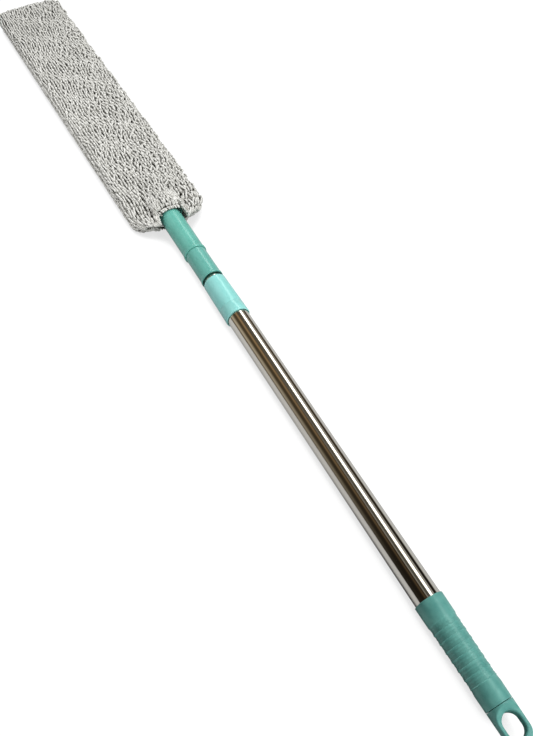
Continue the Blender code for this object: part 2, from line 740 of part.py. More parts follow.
def makePaddle():
    lip = NECK_RADIUS + NECK_LIP
    spine = []
    for share in EASE_SHARES:
        spine.append((NECK_LENGTH + SPINE_LENGTH * share, spineRadius(NECK_END + SPINE_LENGTH * share)))
    outline = [
        *reversed(spine),
        (NECK_LENGTH, NECK_RADIUS),
        (2 * NECK_LIP_LENGTH, NECK_RADIUS),
        *arc(NECK_LIP_LENGTH - NECK_EDGE, lip - NECK_EDGE, NECK_EDGE, 45, 90),
        *arc(NECK_EDGE, lip - NECK_EDGE, NECK_EDGE, 90, 180),
        (0, SOCKET_RADIUS),
        (SOCKET_LENGTH, SOCKET_RADIUS),
        (SOCKET_LENGTH, 0),
    ]
    paddle = turned("paddle", outline, ring=False)
    rootStation = NECK_LENGTH - BLADE_FROM_NECK_END
    tip = NECK_LENGTH + BLADE_LENGTH
    half = BLADE_WIDTH / 2
    side = []
    for i in range(2 * ARC_STEPS + 1):
        share = i / (2 * ARC_STEPS)
        side.append((rootStation + BLADE_FLARE * share, bladeHalfWidth(share)))
    side += arc(tip - BLADE_CORNER, half - BLADE_CORNER, BLADE_CORNER, 90, 0)
    blade = side + [(station, -across) for station, across in reversed(side)]
    combine(paddle, plate("blade", [blade], BLADE_THICKNESS), "UNION")
    put(paddle, "head", NECK_START, tealGloss)


# Sleeve. Its places are stations along the head and distances across it.

def tunnel(station, across, wall=0.0):
    """Height of the pocket's roof over the blade, raised to clear the neck and the spine."""
    rise = max(spineRadius(station) + NECK_PLAY - POCKET_HALF_HEIGHT, 0)
    reach = TUNNEL_WIDTH / 2 + wall
    share = max(1 - (across / reach) ** 2, 0)
    return POCKET_HALF_HEIGHT + wall + rise * share**TUNNEL_POWER_SHARE


def sleeveHalfWidth(station):
    """Half the sleeve's width, wider to the tip, with rounded corners at both ends."""
    along = (station - MOUTH) / SLEEVE_LENGTH
    half = POCKET_HALF_WIDTH + SEAM_WIDTH + SLEEVE_FLARE * along
    for corner, fromEnd in ((MOUTH_CORNER, station - MOUTH), (TIP_CORNER, SLEEVE_TIP - station)):
        inset = max(1 - fromEnd / corner, 0)
        half -= corner * (1 - math.sqrt(1 - min(inset, 1) ** 2))
    return half


def endShare(station):
    """The pile's thickness near the two ends, as a share of its full thickness."""
    fromEnd = min(station - MOUTH, SLEEVE_TIP - station)
    inset = min(max(1 - fromEnd / END_ROUND, 0), 1)
    return EDGE_THICKNESS_SHARE + (1 - EDGE_THICKNESS_SHARE) * math.sqrt(1 - inset**2)


def frontHeight(station, share):
    crown = EDGE_THICKNESS_SHARE + (1 - EDGE_THICKNESS_SHARE) * math.sqrt(1 - share**4)
    across = share * sleeveHalfWidth(station)
    return tunnel(station, across, LINING) - LINING + max(FRONT_PILE * crown * endShare(station), LINING)


def backHeight(station, share):
    inset = max(share - FLAT_BACK_SHARE, 0) / (1 - FLAT_BACK_SHARE)
    crown = EDGE_THICKNESS_SHARE + (1 - EDGE_THICKNESS_SHARE) * math.sqrt(1 - min(inset, 1) ** 2)
    pile = (AXIS_HEIGHT - POCKET_HALF_HEIGHT) * crown * endShare(station)
    across = share * sleeveHalfWidth(station)
    return max(POCKET_HALF_HEIGHT + pile, tunnel(station, across) + LINING)


def sleeveStations():
    stations = [MOUTH + END_ROUND * share for share in END_SHARES]
    stations += [SLEEVE_TIP - END_ROUND * share for share in END_SHARES]
    stations += [NECK_END + SPINE_LENGTH * share for share in EASE_SHARES]
    stations.append(SLEEVE_TIP - TIP_CORNER - SEAT_GAP)
    straight = SLEEVE_TIP - NECK_END - SPINE_LENGTH
    stations += [NECK_END + SPINE_LENGTH + straight * share for share in MIDDLE_SHARES]
    ordered = []
    for station in sorted(stations):
        if not ordered or station - ordered[-1] > SEAT_GAP:
            ordered.append(station)
    return ordered


def makePanel(name, outerHeight, side):
    """A loft of sections across the head: the pocket's roof inside, the top of the pile outside."""
    shares = [-share for share in reversed(ACROSS_SHARES[1:])] + list(ACROSS_SHARES)
    mesh = bpy.data.meshes.new(name)
    made = bmesh.new()
    rows = []
    for station in sleeveStations():
        half = sleeveHalfWidth(station)
        inner = []
        outer = []
        for share in shares:
            across = share * half
            inner.append(made.verts.new((station - MOUTH, across, side * tunnel(station, across))))
            outer.append(made.verts.new((station - MOUTH, across, side * outerHeight(station, abs(share)))))
        rows.append((inner, outer))
    last = len(shares) - 1
    for (innerA, outerA), (innerB, outerB) in zip(rows, rows[1:]):
        for i in range(last):
            made.faces.new((innerA[i], innerA[i + 1], innerB[i + 1], innerB[i]))
            made.faces.new((outerA[i], outerB[i], outerB[i + 1], outerA[i + 1]))
        for i in (0, last):
            made.faces.new((innerA[i], innerB[i], outerB[i], outerA[i]))
    for inner, outer in (rows[0], rows[-1]):
        for i in range(last):
            made.faces.new((inner[i], outer[i], outer[i + 1], inner[i + 1]))
    bmesh.ops.recalc_face_normals(made, faces=made.faces)
    made.to_mesh(mesh)
    made.free()
    mesh.shade_smooth()
    mesh.set_sharp_from_angle(angle=SHARP_ANGLE)
    panel = bpy.data.objects.new(name, mesh)
    parts.objects.link(panel)
    put(panel, "sleeve", MOUTH, loopPile)


def makeEdgeSeam():
    """The seam that joins the panels along both sides and round the tip, open at the mouth."""
    side = []
    for station in sleeveStations():
        half = sleeveHalfWidth(station)
        if half > POCKET_HALF_WIDTH or station > POCKET_END:
            side.append((station - MOUTH, half - SEAT_GAP))
    side[0] = (side[0][0] + SEAT_GAP, side[0][1])
    side[-1] = (side[-1][0] - SEAT_GAP, side[-1][1])
    pocket = POCKET_END - MOUTH
    outline = side + [(x, -y) for x, y in reversed(side)]
    outline += [
        (side[0][0], -POCKET_HALF_WIDTH),
        (pocket, -POCKET_HALF_WIDTH),
        (pocket, POCKET_HALF_WIDTH),
        (side[0][0], POCKET_HALF_WIDTH),
    ]
    seam = plate("sleeve_edge_seam", [outline], 2 * (POCKET_HALF_HEIGHT - SEAT_GAP))
    put(seam, "sleeve", MOUTH, hemTape)


def mouthOutline(wall):
    """The sleeve's mouth, a wall's width larger all round, as (height, across) points."""
    half = POCKET_HALF_WIDTH + wall
    shares = [-share for share in reversed(ACROSS_SHARES[1:])] + list(ACROSS_SHARES)
    top = [(tunnel(MOUTH, share * half, wall), share * half) for share in shares]
    return top + [(-height, across) for height, across in reversed(top)]


def makeHem():
    outlines = [mouthOutline(LINING), mouthOutline(0.0)]
    upright = (0, -HALF_TURN / 2, 0)
    hem = plate("sleeve_opening_hem", outlines, HEM_WIDTH, upright, (HEM_WIDTH / 2, 0, 0))
    put(hem, "sleeve", HEM_START, hemTape)


# Assembly

pole = newFrame("pole_axis", None, -SLEEVE_TIP / 2, AXIS_HEIGHT)
for body, station in BODY_STATIONS.items():
    frames[body] = newFrame(body + "_frame", pole, station)

makeHangerCap()
makeEndPlug()
makeGrip()
makeTube("outer_tube", TUBE_LENGTH, TUBE_RADIUS, "outer_pole", TUBE_START)
makeCollar()
makeGuideBush()
makeTube("inner_tube", INNER_TOP - INNER_START, INNER_RADIUS, "inner_pole", INNER_START)
makeAdapter()
makeEndNut()
makeWasher()
makeSpindle()
makeConeNut()
makeDowel()
makePlug()
makePaddle()
makePanel("sleeve_front_panel", frontHeight, 1)
makePanel("sleeve_back_panel", backHeight, -1)
makeEdgeSeam()
makeHem()
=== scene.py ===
import math

import bmesh
import bpy
import numpy as np
from mathutils import Matrix, Vector


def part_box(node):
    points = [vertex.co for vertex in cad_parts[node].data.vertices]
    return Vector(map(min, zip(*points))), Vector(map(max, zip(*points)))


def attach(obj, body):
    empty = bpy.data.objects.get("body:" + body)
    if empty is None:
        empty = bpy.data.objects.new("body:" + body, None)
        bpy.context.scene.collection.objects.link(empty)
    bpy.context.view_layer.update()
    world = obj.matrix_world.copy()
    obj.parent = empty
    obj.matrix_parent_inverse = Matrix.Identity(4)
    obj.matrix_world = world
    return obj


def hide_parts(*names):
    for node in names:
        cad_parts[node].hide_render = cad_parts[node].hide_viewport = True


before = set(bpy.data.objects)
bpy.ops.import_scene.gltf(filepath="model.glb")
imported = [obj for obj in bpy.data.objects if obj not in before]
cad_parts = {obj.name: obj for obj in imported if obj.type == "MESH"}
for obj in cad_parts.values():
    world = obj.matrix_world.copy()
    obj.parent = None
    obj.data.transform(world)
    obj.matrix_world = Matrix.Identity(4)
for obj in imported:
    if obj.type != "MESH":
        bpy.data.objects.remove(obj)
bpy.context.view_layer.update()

print("frame loaded:", len(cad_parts), "CAD nodes")

# the pole's axis runs along X at this height, and the duster lies on z = 0
axisHeight = 0.0116
touching = 0.000005


# shared helpers

def selectOnly(obj):
    bpy.ops.object.select_all(action="DESELECT")
    obj.select_set(True)
    bpy.context.view_layer.objects.active = obj


def applyAll(obj):
    selectOnly(obj)
    for modifier in list(obj.modifiers):
        bpy.ops.object.modifier_apply(modifier=modifier.name)


def bakePlace(obj):
    selectOnly(obj)
    bpy.ops.object.transform_apply(location=True, rotation=True, scale=True)


def smoothEdges(sharpest=32):
    bpy.ops.object.shade_smooth_by_angle(angle=math.radians(sharpest))


def closeEdit(merge=None):
    # in edit mode: join the points that touch, turn all faces outward and leave
    bpy.ops.mesh.select_all(action="SELECT")
    if merge:
        bpy.ops.mesh.remove_doubles(threshold=merge)
    bpy.ops.mesh.normals_make_consistent(inside=False)
    bpy.ops.object.mode_set(mode="OBJECT")


def arcPoints(x, radius, size, start, end, steps=5):
    # corner of a turned outline: 0 degrees points to the head, 90 away from the axis
    points = []
    for i in range(steps + 1):
        angle = math.radians(start + (end - start) * i / steps)
        points.append((x + size * math.cos(angle), radius + size * math.sin(angle)))
    return points


def turnPiece(name, outline, steps=112):
    # draw half the section as an edge loop, then spin it round the pole's axis
    bpy.ops.object.select_all(action="DESELECT")
    x, radius = outline[0]
    bpy.ops.mesh.primitive_plane_add(size=0.001, location=(x, 0, axisHeight + radius))
    piece = bpy.context.object
    piece.name = name
    bakePlace(piece)
    bpy.ops.object.mode_set(mode="EDIT")
    bpy.ops.mesh.select_all(action="SELECT")
    bpy.ops.mesh.merge(type="CENTER")
    for nextX, nextRadius in outline[1:]:
        step = (nextX - x, 0, nextRadius - radius)
        bpy.ops.mesh.extrude_region_move(TRANSFORM_OT_translate={"value": step})
        x, radius = nextX, nextRadius
    bpy.ops.mesh.select_all(action="SELECT")
    bpy.ops.mesh.spin(
        steps=steps, angle=2 * math.pi, use_auto_merge=True,
        center=(0, 0, axisHeight), axis=(1, 0, 0),
    )
    closeEdit(touching)
    smoothEdges()
    return piece


def loftPiece(name, rings):
    # start from a circle and extrude it ring by ring, each ring pulled to its own outline
    bpy.ops.object.select_all(action="DESELECT")
    bpy.ops.mesh.primitive_circle_add(vertices=len(rings[0]), radius=0.01, fill_type="NGON")
    piece = bpy.context.object
    piece.name = name
    bpy.ops.object.mode_set(mode="EDIT")
    bpy.ops.mesh.select_all(action="SELECT")
    for i, ring in enumerate(rings):
        if i:
            bpy.ops.mesh.extrude_region_move()
        edited = bmesh.from_edit_mesh(piece.data)
        edited.faces.ensure_lookup_table()
        face = [f for f in edited.faces if f.select][0]
        for vertex, place in zip(face.verts, ring):
            vertex.co = place
        bmesh.update_edit_mesh(piece.data)
    closeEdit()
    smoothEdges()
    return piece


def cutOrJoin(piece, tool, operation):
    modifier = piece.modifiers.new(operation.lower(), "BOOLEAN")
    modifier.operation = operation
    modifier.object = tool
    applyAll(piece)
    bpy.data.objects.remove(tool)
    smoothEdges()


def dress(piece, body, slotName, material, *nodes):
    piece.data.materials.clear()
    piece.data.materials.append(material)
    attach(piece, body)
    if nodes:
        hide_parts(*nodes)


# shader nodes, and the groups that several finishes share

white = (1, 1, 1, 1)


def setInputs(tree, node, inputs):
    # each input is a plain value or the output of another node
    for socket, value in inputs.items():
        if isinstance(value, bpy.types.NodeSocket):
            tree.links.new(value, node.inputs[socket])
        else:
            node.inputs[socket].default_value = value


def addNode(tree, kind, inputs=None, **settings):
    node = tree.nodes.new("ShaderNode" + kind)
    for key, value in settings.items():
        setattr(node, key, value)
    setInputs(tree, node, inputs or {})
    return node


def addMath(tree, operation, *values):
    return addNode(tree, "Math", dict(enumerate(values)), operation=operation).outputs["Value"]


def addRange(tree, value, start, end, low=0):
    inputs = {"Value": value, "From Min": start, "From Max": end, "To Min": low}
    return addNode(tree, "MapRange", inputs).outputs["Result"]


def addBump(tree, height, strength, distance):
    inputs = {"Height": height, "Strength": strength, "Distance": distance}
    return addNode(tree, "Bump", inputs).outputs["Normal"]


def mixShader(tree, share, first, second):
    return addNode(tree, "MixShader", {"Fac": share, 1: first, 2: second}).outputs["Shader"]


def twoTone(tree, mask, dark, light):
    ramp = addNode(tree, "ValToRGB", {"Fac": mask})
    for element, colour in zip(ramp.color_ramp.elements, (dark, light)):
        element.color = (*colour, 1)
    return ramp.outputs["Color"]


def newGroup(name, inputs):
    group = bpy.data.node_groups.new(name, "ShaderNodeTree")
    for socket, value in inputs.items():
        made = group.interface.new_socket(socket, in_out="INPUT", socket_type="NodeSocketFloat")
        made.default_value = value
    for socket, kind in (("Tone", "Float"), ("Roughness", "Float"), ("Normal", "Vector")):
        group.interface.new_socket(socket, in_out="OUTPUT", socket_type="NodeSocket" + kind)
    return group, group.nodes.new("NodeGroupInput").outputs


def endGroup(group, given, tone, fine, roughShare, height, distance):
    # the fine pattern gives a little roughness and a normal
    setInputs(group, group.nodes.new("NodeGroupOutput"), {
        "Tone": tone,
        "Roughness": addMath(group, "MULTIPLY_ADD", fine, roughShare, given["Roughness"]),
        "Normal": addBump(group, fine, height, distance),
    })
    return group


def makeMouldedGroup():
    # faint mottling of a moulded plastic surface
    group, given = newGroup(
        "mouldedSurface",
        {"Mottle Scale": 90.0, "Grain Scale": 900.0, "Grain Height": 0.04, "Roughness": 0.25},
    )
    place = addNode(group, "TexCoord").outputs["Object"]
    mottle, grain = (
        addNode(group, "TexNoise", {"Vector": place, "Scale": given[scale], "Detail": detail})
        for scale, detail in (("Mottle Scale", 4), ("Grain Scale", 3))
    )
    tone = addRange(group, mottle.outputs["Fac"], 0.3, 0.7)
    return endGroup(group, given, tone, grain.outputs["Fac"], 0.08, given["Grain Height"], 0.0002)


def makeDrawnGroup():
    # fine lines that drawing and polishing leave along a tube
    group, given = newGroup(
        "drawnSurface", {"Line Scale": 700.0, "Line Height": 0.05, "Roughness": 0.08}
    )
    place = addNode(group, "TexCoord").outputs["Object"]
    drawn = addNode(group, "Mapping", {"Vector": place, "Scale": (0.02, 1, 1)}).outputs["Vector"]
    inputs = {"Vector": drawn, "Scale": given["Line Scale"], "Detail": 5}
    fine = addNode(group, "TexNoise", inputs).outputs["Fac"]
    return endGroup(group, given, fine, fine, 0.05, given["Line Height"], 0.0001)


mouldedSurface = makeMouldedGroup()
drawnSurface = makeDrawnGroup()


def newMaterial(name):
    material = bpy.data.materials.new(name)
    material.use_nodes = True
    return material, material.node_tree


def makeFinish(look, group, metallic):
    material, tree = newMaterial(look["name"])
    inputs = dict(enumerate(look["surface"]))
    surface = addNode(tree, "Group", inputs, node_tree=group).outputs
    setInputs(tree, tree.nodes["Principled BSDF"], {
        "Metallic": metallic,
        "Base Color": twoTone(tree, surface["Tone"], look["dark"], look["light"]),
        "Roughness": surface["Roughness"], "Normal": surface["Normal"],
    })
    return material


# a plastic's surface: mottle scale, grain scale, grain height and roughness
plasticLooks = {
    "neck": {"name": "neckTeal", "dark": (0.135, 0.45, 0.375), "light": (0.16, 0.50, 0.42),
             "surface": (60, 500, 0.012, 0.22)},
    "adapter": {"name": "adapterTeal", "dark": (0.135, 0.435, 0.37), "light": (0.16, 0.48, 0.415),
                "surface": (60, 500, 0.012, 0.15)},
    "collar": {"name": "collarTurquoise", "dark": (0.285, 0.70, 0.66), "light": (0.325, 0.75, 0.71),
               "surface": (60, 500, 0.012, 0.13)},
    "grip": {"name": "gripTeal", "dark": (0.095, 0.32, 0.285), "light": (0.15, 0.42, 0.37),
             "surface": (160, 900, 0.05, 0.3)},
    "nylon": {"name": "whiteNylon", "dark": (0.72, 0.72, 0.68), "light": (0.82, 0.82, 0.78),
              "surface": (120, 900, 0.05, 0.42)},
    "lock": {"name": "blackLock", "dark": (0.02, 0.02, 0.021), "light": (0.035, 0.035, 0.036),
             "surface": (120, 900, 0.08, 0.45)},
}
# a steel's surface: line scale, line height and roughness
steelLooks = {
    "tube": {"name": "polishedSteel", "dark": (0.80, 0.77, 0.70), "light": (0.87, 0.84, 0.78),
             "surface": (500, 0.04, 0.07)},
    "zinc": {"name": "zincSteel", "dark": (0.52, 0.52, 0.50), "light": (0.66, 0.66, 0.64),
             "surface": (900, 0.15, 0.26)},
}
plastics = {key: makeFinish(look, mouldedSurface, 0) for key, look in plasticLooks.items()}
steels = {key: makeFinish(look, drawnSurface, 1) for key, look in steelLooks.items()}
print("finishes made")


# hanger cap

hangerCap = {
    "length": 0.0255,
    "radius": 0.00925,
    "seamRadius": 0.00945,
    "flatHeight": 0.0035,
    "band": 0.0014,
    "ramp": 0.0125,
    "rampPower": 3.3,
    "edgeSoftness": 0.0008,
    "seamEdge": 0.0002,
    "holeLength": 0.016,
    "holeWidth": 0.0124,
    "holeToSeam": 0.0045,
    "rim": 0.0011,
    "stemRadius": 0.003,
    "stemLength": 0.0146,
    "stemOverlap": 0.001,
    "cutterReach": 0.004,
    "around": 96,
    "holeAround": 64,
    "domeSteps": 14,
    "bodySteps": 26,
    "edgeSteps": 4,
    "rimSteps": 7,
}


def softMin(a, b, softness):
    gap = abs(a - b)
    if gap >= softness:
        return min(a, b)
    return min(a, b) - (softness - gap) ** 2 / (4 * softness)


def capHeight(station):
    # half the cap's thickness: flat round the hole, and a ramp up to the grip's seam
    sizes = hangerCap
    top = sizes["length"] - sizes["band"]
    share = min(max(1 - (top - station) / sizes["ramp"], 0), 1)
    rise = sizes["seamRadius"] - sizes["flatHeight"]
    return sizes["flatHeight"] + rise * share ** sizes["rampPower"]


def capSection(start, station, radius):
    sizes = hangerCap
    ring = []
    height = capHeight(station)
    if station > sizes["length"] - sizes["band"]:
        height = 2 * radius
    for i in range(sizes["around"]):
        angle = 2 * math.pi * i / sizes["around"]
        across = radius * math.cos(angle)
        up = radius * math.sin(angle)
        soft = softMin(abs(up), height, sizes["edgeSoftness"])
        ring.append((start + station, across, axisHeight + math.copysign(max(soft, 0), up)))
    return ring


def makeHangerCap():
    sizes = hangerCap
    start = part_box("hanger_cap")[0].x
    body = sizes["radius"]
    rings = []
    for i in range(1, sizes["domeSteps"] + 1):
        angle = math.pi / 2 * i / sizes["domeSteps"]
        rings.append(capSection(start, body * (1 - math.cos(angle)), body * math.sin(angle)))
    length = sizes["length"]
    edge = sizes["seamEdge"]
    straight = length - body - edge
    for i in range(1, sizes["bodySteps"] + 1):
        station = body + straight * i / sizes["bodySteps"]
        share = i / sizes["bodySteps"]
        rings.append(capSection(start, station, body + (sizes["seamRadius"] - body) * share))
    for i in range(1, sizes["edgeSteps"] + 1):
        angle = math.pi / 2 * i / sizes["edgeSteps"]
        station = length - edge + edge * math.sin(angle)
        radius = sizes["seamRadius"] - edge + edge * math.cos(angle)
        rings.append(capSection(start, station, radius))
    cap = loftPiece("cap_body", rings)
    stem = turnPiece("cap_stem", [
        (start + length - sizes["stemOverlap"], 0),
        (start + length - sizes["stemOverlap"], sizes["stemRadius"]),
        (start + length + sizes["stemLength"], sizes["stemRadius"]),
        (start + length + sizes["stemLength"], 0),
    ], 32)
    cutOrJoin(cap, stem, "UNION")
    middle = length - sizes["holeToSeam"] - sizes["holeLength"] / 2
    reach = (sizes["holeLength"] - sizes["holeWidth"]) / 2
    rings = []
    for side in (1, -1):
        half = []
        for i in range(sizes["rimSteps"] + 1):
            angle = math.pi / 2 * i / sizes["rimSteps"]
            grow = sizes["rim"] * (1 - math.sin(angle))
            drop = sizes["rim"] * (1 - math.cos(angle))
            half.append((grow, drop))
        half.insert(0, (sizes["rim"], -sizes["cutterReach"]))
        if side < 0:
            half.reverse()
        for grow, drop in half:
            ring = []
            for i in range(sizes["holeAround"]):
                angle = 2 * math.pi * (i + 0.5) / sizes["holeAround"]
                radius = sizes["holeWidth"] / 2 + grow
                x = middle + math.copysign(reach, math.cos(angle)) + radius * math.cos(angle)
                y = radius * math.sin(angle)
                z = side * (capHeight(x) - drop)
                ring.append((start + x, y, axisHeight + z))
            rings.append(ring)
    hole = loftPiece("hole_cutter", rings)
    cutOrJoin(cap, hole, "DIFFERENCE")
    cap.name = "hanger_cap_fine"
    dress(cap, "hanger", "grip_plastic", plastics["grip"], "hanger_cap")


makeHangerCap()
print("hanger cap made")


# grip with its finger ribs

gripSizes = {
    "length": 0.0718,
    "topRadius": 0.0105,
    "endRadius": 0.00945,
    "bore": 0.0075,
    "spigotRadius": 0.0089,
    "skirtBore": 0.0096,
    "skirt": 0.0225,
    "spigot": 0.0205,
    "seat": 0.0003,
    "edge": 0.0002,
    "ribs": 7,
    "ribPitch": 0.00615,
    "ribsFromTop": 0.0201,
    "ribDepth": 0.00042,
    "steepSide": 0.00055,
    "longSide": 0.0026,
    "ribSteps": 24,
    "ripples": 3,
    "rippleDepth": 0.00014,
}


def gripRadius(fromTop):
    taper = gripSizes["topRadius"] - gripSizes["endRadius"]
    return gripSizes["topRadius"] - taper * fromTop / gripSizes["length"]


def makeGrip():
    sizes = gripSizes
    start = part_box("grip")[0].x
    length = sizes["length"]
    edge = sizes["edge"]
    outline = [(start + length, sizes["skirtBore"])]
    outline += arcPoints(start + length - edge, sizes["topRadius"] - edge, edge, 0, 90)
    crests = [sizes["ribsFromTop"] + sizes["ribPitch"] * i for i in range(sizes["ribs"])]
    for crest in crests:
        # each finger rib rises slowly from the head's side and falls off steeply
        for i in range(sizes["ribSteps"] + 1):
            share = i / sizes["ribSteps"]
            fromTop = crest + sizes["steepSide"] - sizes["ribPitch"] * (1 - share)
            rise = min(max((fromTop - crest + sizes["longSide"]) / sizes["longSide"], 0), 1)
            fall = min(max((fromTop - crest) / sizes["steepSide"], 0), 1)
            hollow = 1 - rise**2 * (1 - fall * fall * (3 - 2 * fall))
            if crest == crests[0]:
                hollow *= min(share * 3, 1)
            ripple = sizes["rippleDepth"] * math.sin(math.pi * sizes["ripples"] * share) ** 2
            radius = gripRadius(fromTop) - sizes["ribDepth"] * hollow - ripple
            outline.append((start + length - fromTop, radius))
    last = crests[-1] + sizes["ribPitch"] * 0.6
    outline.append((start + length - last, gripRadius(last)))
    outline += arcPoints(start + edge, sizes["endRadius"] - edge, edge, 90, 180)
    floor = start + length - sizes["skirt"] - sizes["seat"]
    outline += [
        (start, sizes["bore"]),
        (floor + sizes["spigot"], sizes["bore"]),
        (floor + sizes["spigot"], sizes["spigotRadius"]),
        (floor, sizes["spigotRadius"]),
        (floor, sizes["skirtBore"]),
        (start + length, sizes["skirtBore"]),
    ]
    grip = turnPiece("grip_fine", outline)
    dress(grip, "outer_pole", "grip_plastic", plastics["grip"], "grip")


makeGrip()
print("grip made")


# steel tubes

tubeSizes = {
    "outer_tube": {"radius": 0.0095, "bore": 0.0090, "body": "outer_pole"},
    "inner_tube": {"radius": 0.0080, "bore": 0.0075, "body": "inner_pole"},
}


def makeTubes():
    for node, sizes in tubeSizes.items():
        low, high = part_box(node)
        outline = [(high.x, sizes["bore"]), (high.x, sizes["radius"])]
        steps = 12
        for i in range(1, steps + 1):
            outline.append((high.x + (low.x - high.x) * i / steps, sizes["radius"]))
        outline += [(low.x, sizes["bore"]), (high.x, sizes["bore"])]
        tube = turnPiece(node + "_fine", outline, 144)
        dress(tube, sizes["body"], "polished_steel", steels["tube"], node)


makeTubes()
print("tubes made")


# collar and its bush

collarSizes = {
    "length": 0.0447,
    "endRadius": 0.01085,
    "topRadius": 0.01015,
    "edge": 0.0006,
    "mouthBore": 0.0086,
    "sleeveBore": 0.0096,
    "recessBore": 0.0099,
    "recessDepth": 0.004,
    "stop": 0.0331,
    "line": 0.0325,
    "lineWidth": 0.0008,
    "lineDepth": 0.0002,
}


def collarRadius(station):
    taper = collarSizes["endRadius"] - collarSizes["topRadius"]
    return collarSizes["endRadius"] - taper * station / collarSizes["length"]


def makeCollar():
    sizes = collarSizes
    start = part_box("joint_collar")[0].x
    length = sizes["length"]
    edge = sizes["edge"]
    line = length - sizes["line"]
    half = sizes["lineWidth"] / 2
    outline = [(start + length, sizes["mouthBore"])]
    outline += arcPoints(start + length - edge, sizes["topRadius"] - edge, edge, 0, 90)
    outline += [
        (start + line + half, collarRadius(line + half)),
        (start + line, collarRadius(line) - sizes["lineDepth"]),
        (start + line - half, collarRadius(line - half)),
    ]
    outline += arcPoints(start + edge, sizes["endRadius"] - edge, edge, 90, 180)
    outline += [
        (start, sizes["recessBore"]),
        (start + sizes["recessDepth"], sizes["recessBore"]),
        (start + sizes["recessDepth"], sizes["sleeveBore"]),
        (start + sizes["stop"], sizes["sleeveBore"]),
        (start + sizes["stop"], sizes["mouthBore"]),
        (start + length, sizes["mouthBore"]),
    ]
    collar = turnPiece("joint_collar_fine", outline)
    dress(collar, "outer_pole", "turquoise_plastic", plastics["collar"], "joint_collar")


makeCollar()
print("collar made")


# adapter between the inner tube and the head

adapterSizes = {
    "visible": 0.0335,
    "radius": 0.0097,
    "lip": 0.00045,
    "lipLength": 0.0016,
    "edge": 0.0004,
    "tubeBore": 0.0081,
    "recessBore": 0.0092,
    "recessDepth": 0.003,
    "tubeStop": 0.0288,
    "spigotRadius": 0.00745,
    "spigotBore": 0.00485,
    "spigotLength": 0.031,
    "threadPitch": 0.005,
    "threadTurns": 4,
    "threadCrest": 0.0008,
}


def makeAdapter():
    sizes = adapterSizes
    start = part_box("pole_adapter")[0].x
    top = start + sizes["visible"]
    end = top + sizes["spigotLength"]
    edge = sizes["edge"]
    lip = sizes["radius"] + sizes["lip"]
    outline = [(end, sizes["spigotBore"])]
    outline += arcPoints(end - edge, sizes["spigotRadius"] - edge, edge, 0, 90)
    outline.append((top, sizes["spigotRadius"]))
    outline += arcPoints(top - edge, sizes["radius"] - edge, edge, 0, 90)
    for i in range(9):
        share = i / 8
        x = start + sizes["lipLength"] * (2.4 - 1.4 * share)
        outline.append((x, sizes["radius"] + sizes["lip"] * share ** 2))
    outline += arcPoints(start + edge, lip - edge, edge, 90, 180)
    outline += [
        (start, sizes["recessBore"]),
        (start + sizes["recessDepth"], sizes["recessBore"]),
        (start + sizes["recessDepth"], sizes["tubeBore"]),
        (start + sizes["tubeStop"], sizes["tubeBore"]),
        (start + sizes["tubeStop"], sizes["spigotBore"]),
        (end, sizes["spigotBore"]),
    ]
    adapter = turnPiece("pole_adapter_fine", outline)
    # the thread: a small round section screwed along the spigot
    threadLength = sizes["threadPitch"] * sizes["threadTurns"]
    first = top + (sizes["spigotLength"] - threadLength) / 2
    bpy.ops.object.select_all(action="DESELECT")
    bpy.ops.mesh.primitive_circle_add(
        vertices=12, radius=sizes["threadCrest"], fill_type="NGON",
        location=(first, sizes["spigotRadius"], 0), rotation=(0, 0, 0),
    )
    thread = bpy.context.object
    bakePlace(thread)
    screw = thread.modifiers.new("turns", "SCREW")
    screw.axis = "X"
    screw.angle = 2 * math.pi * sizes["threadTurns"]
    screw.screw_offset = threadLength
    screw.steps = 40 * sizes["threadTurns"]
    screw.render_steps = screw.steps
    applyAll(thread)
    thread.data.transform(Matrix.Translation((0, 0, axisHeight)))
    bpy.ops.object.mode_set(mode="EDIT")
    bpy.ops.mesh.select_all(action="SELECT")
    bpy.ops.mesh.remove_doubles(threshold=touching)
    bpy.ops.mesh.select_all(action="DESELECT")
    bpy.ops.mesh.select_non_manifold()
    bpy.ops.mesh.edge_face_add()
    closeEdit()
    cutOrJoin(adapter, thread, "UNION")
    dress(adapter, "inner_pole", "teal_plastic", plastics["adapter"], "pole_adapter")


makeAdapter()
print("adapter made")


# paddle: neck, spine and blade in one moulding

headLean = 0.0105  # the flexible head bends this much sideways for each metre beyond the neck
leanStart = 0.0489


def leanAt(x):
    return headLean * np.maximum(x - leanStart, 0)


paddleSizes = {
    "neckLength": 0.0583,
    "neckRadius": 0.01005,
    "lip": 0.00055,
    "lipLength": 0.0025,
    "edge": 0.0005,
    "socketRadius": 0.00845,
    "socketLength": 0.034,
    "spineLength": 0.074,
    "bladeFromNeckEnd": 0.0106,
    "flare": 0.042,
    "flareStart": 0.00845,
    "halfWidth": 0.0315,
    "halfThickness": 0.0012,
    "bladeLength": 0.3975,
    "corner": 0.012,
    "fillet": 0.0012,
    "around": 72,
}


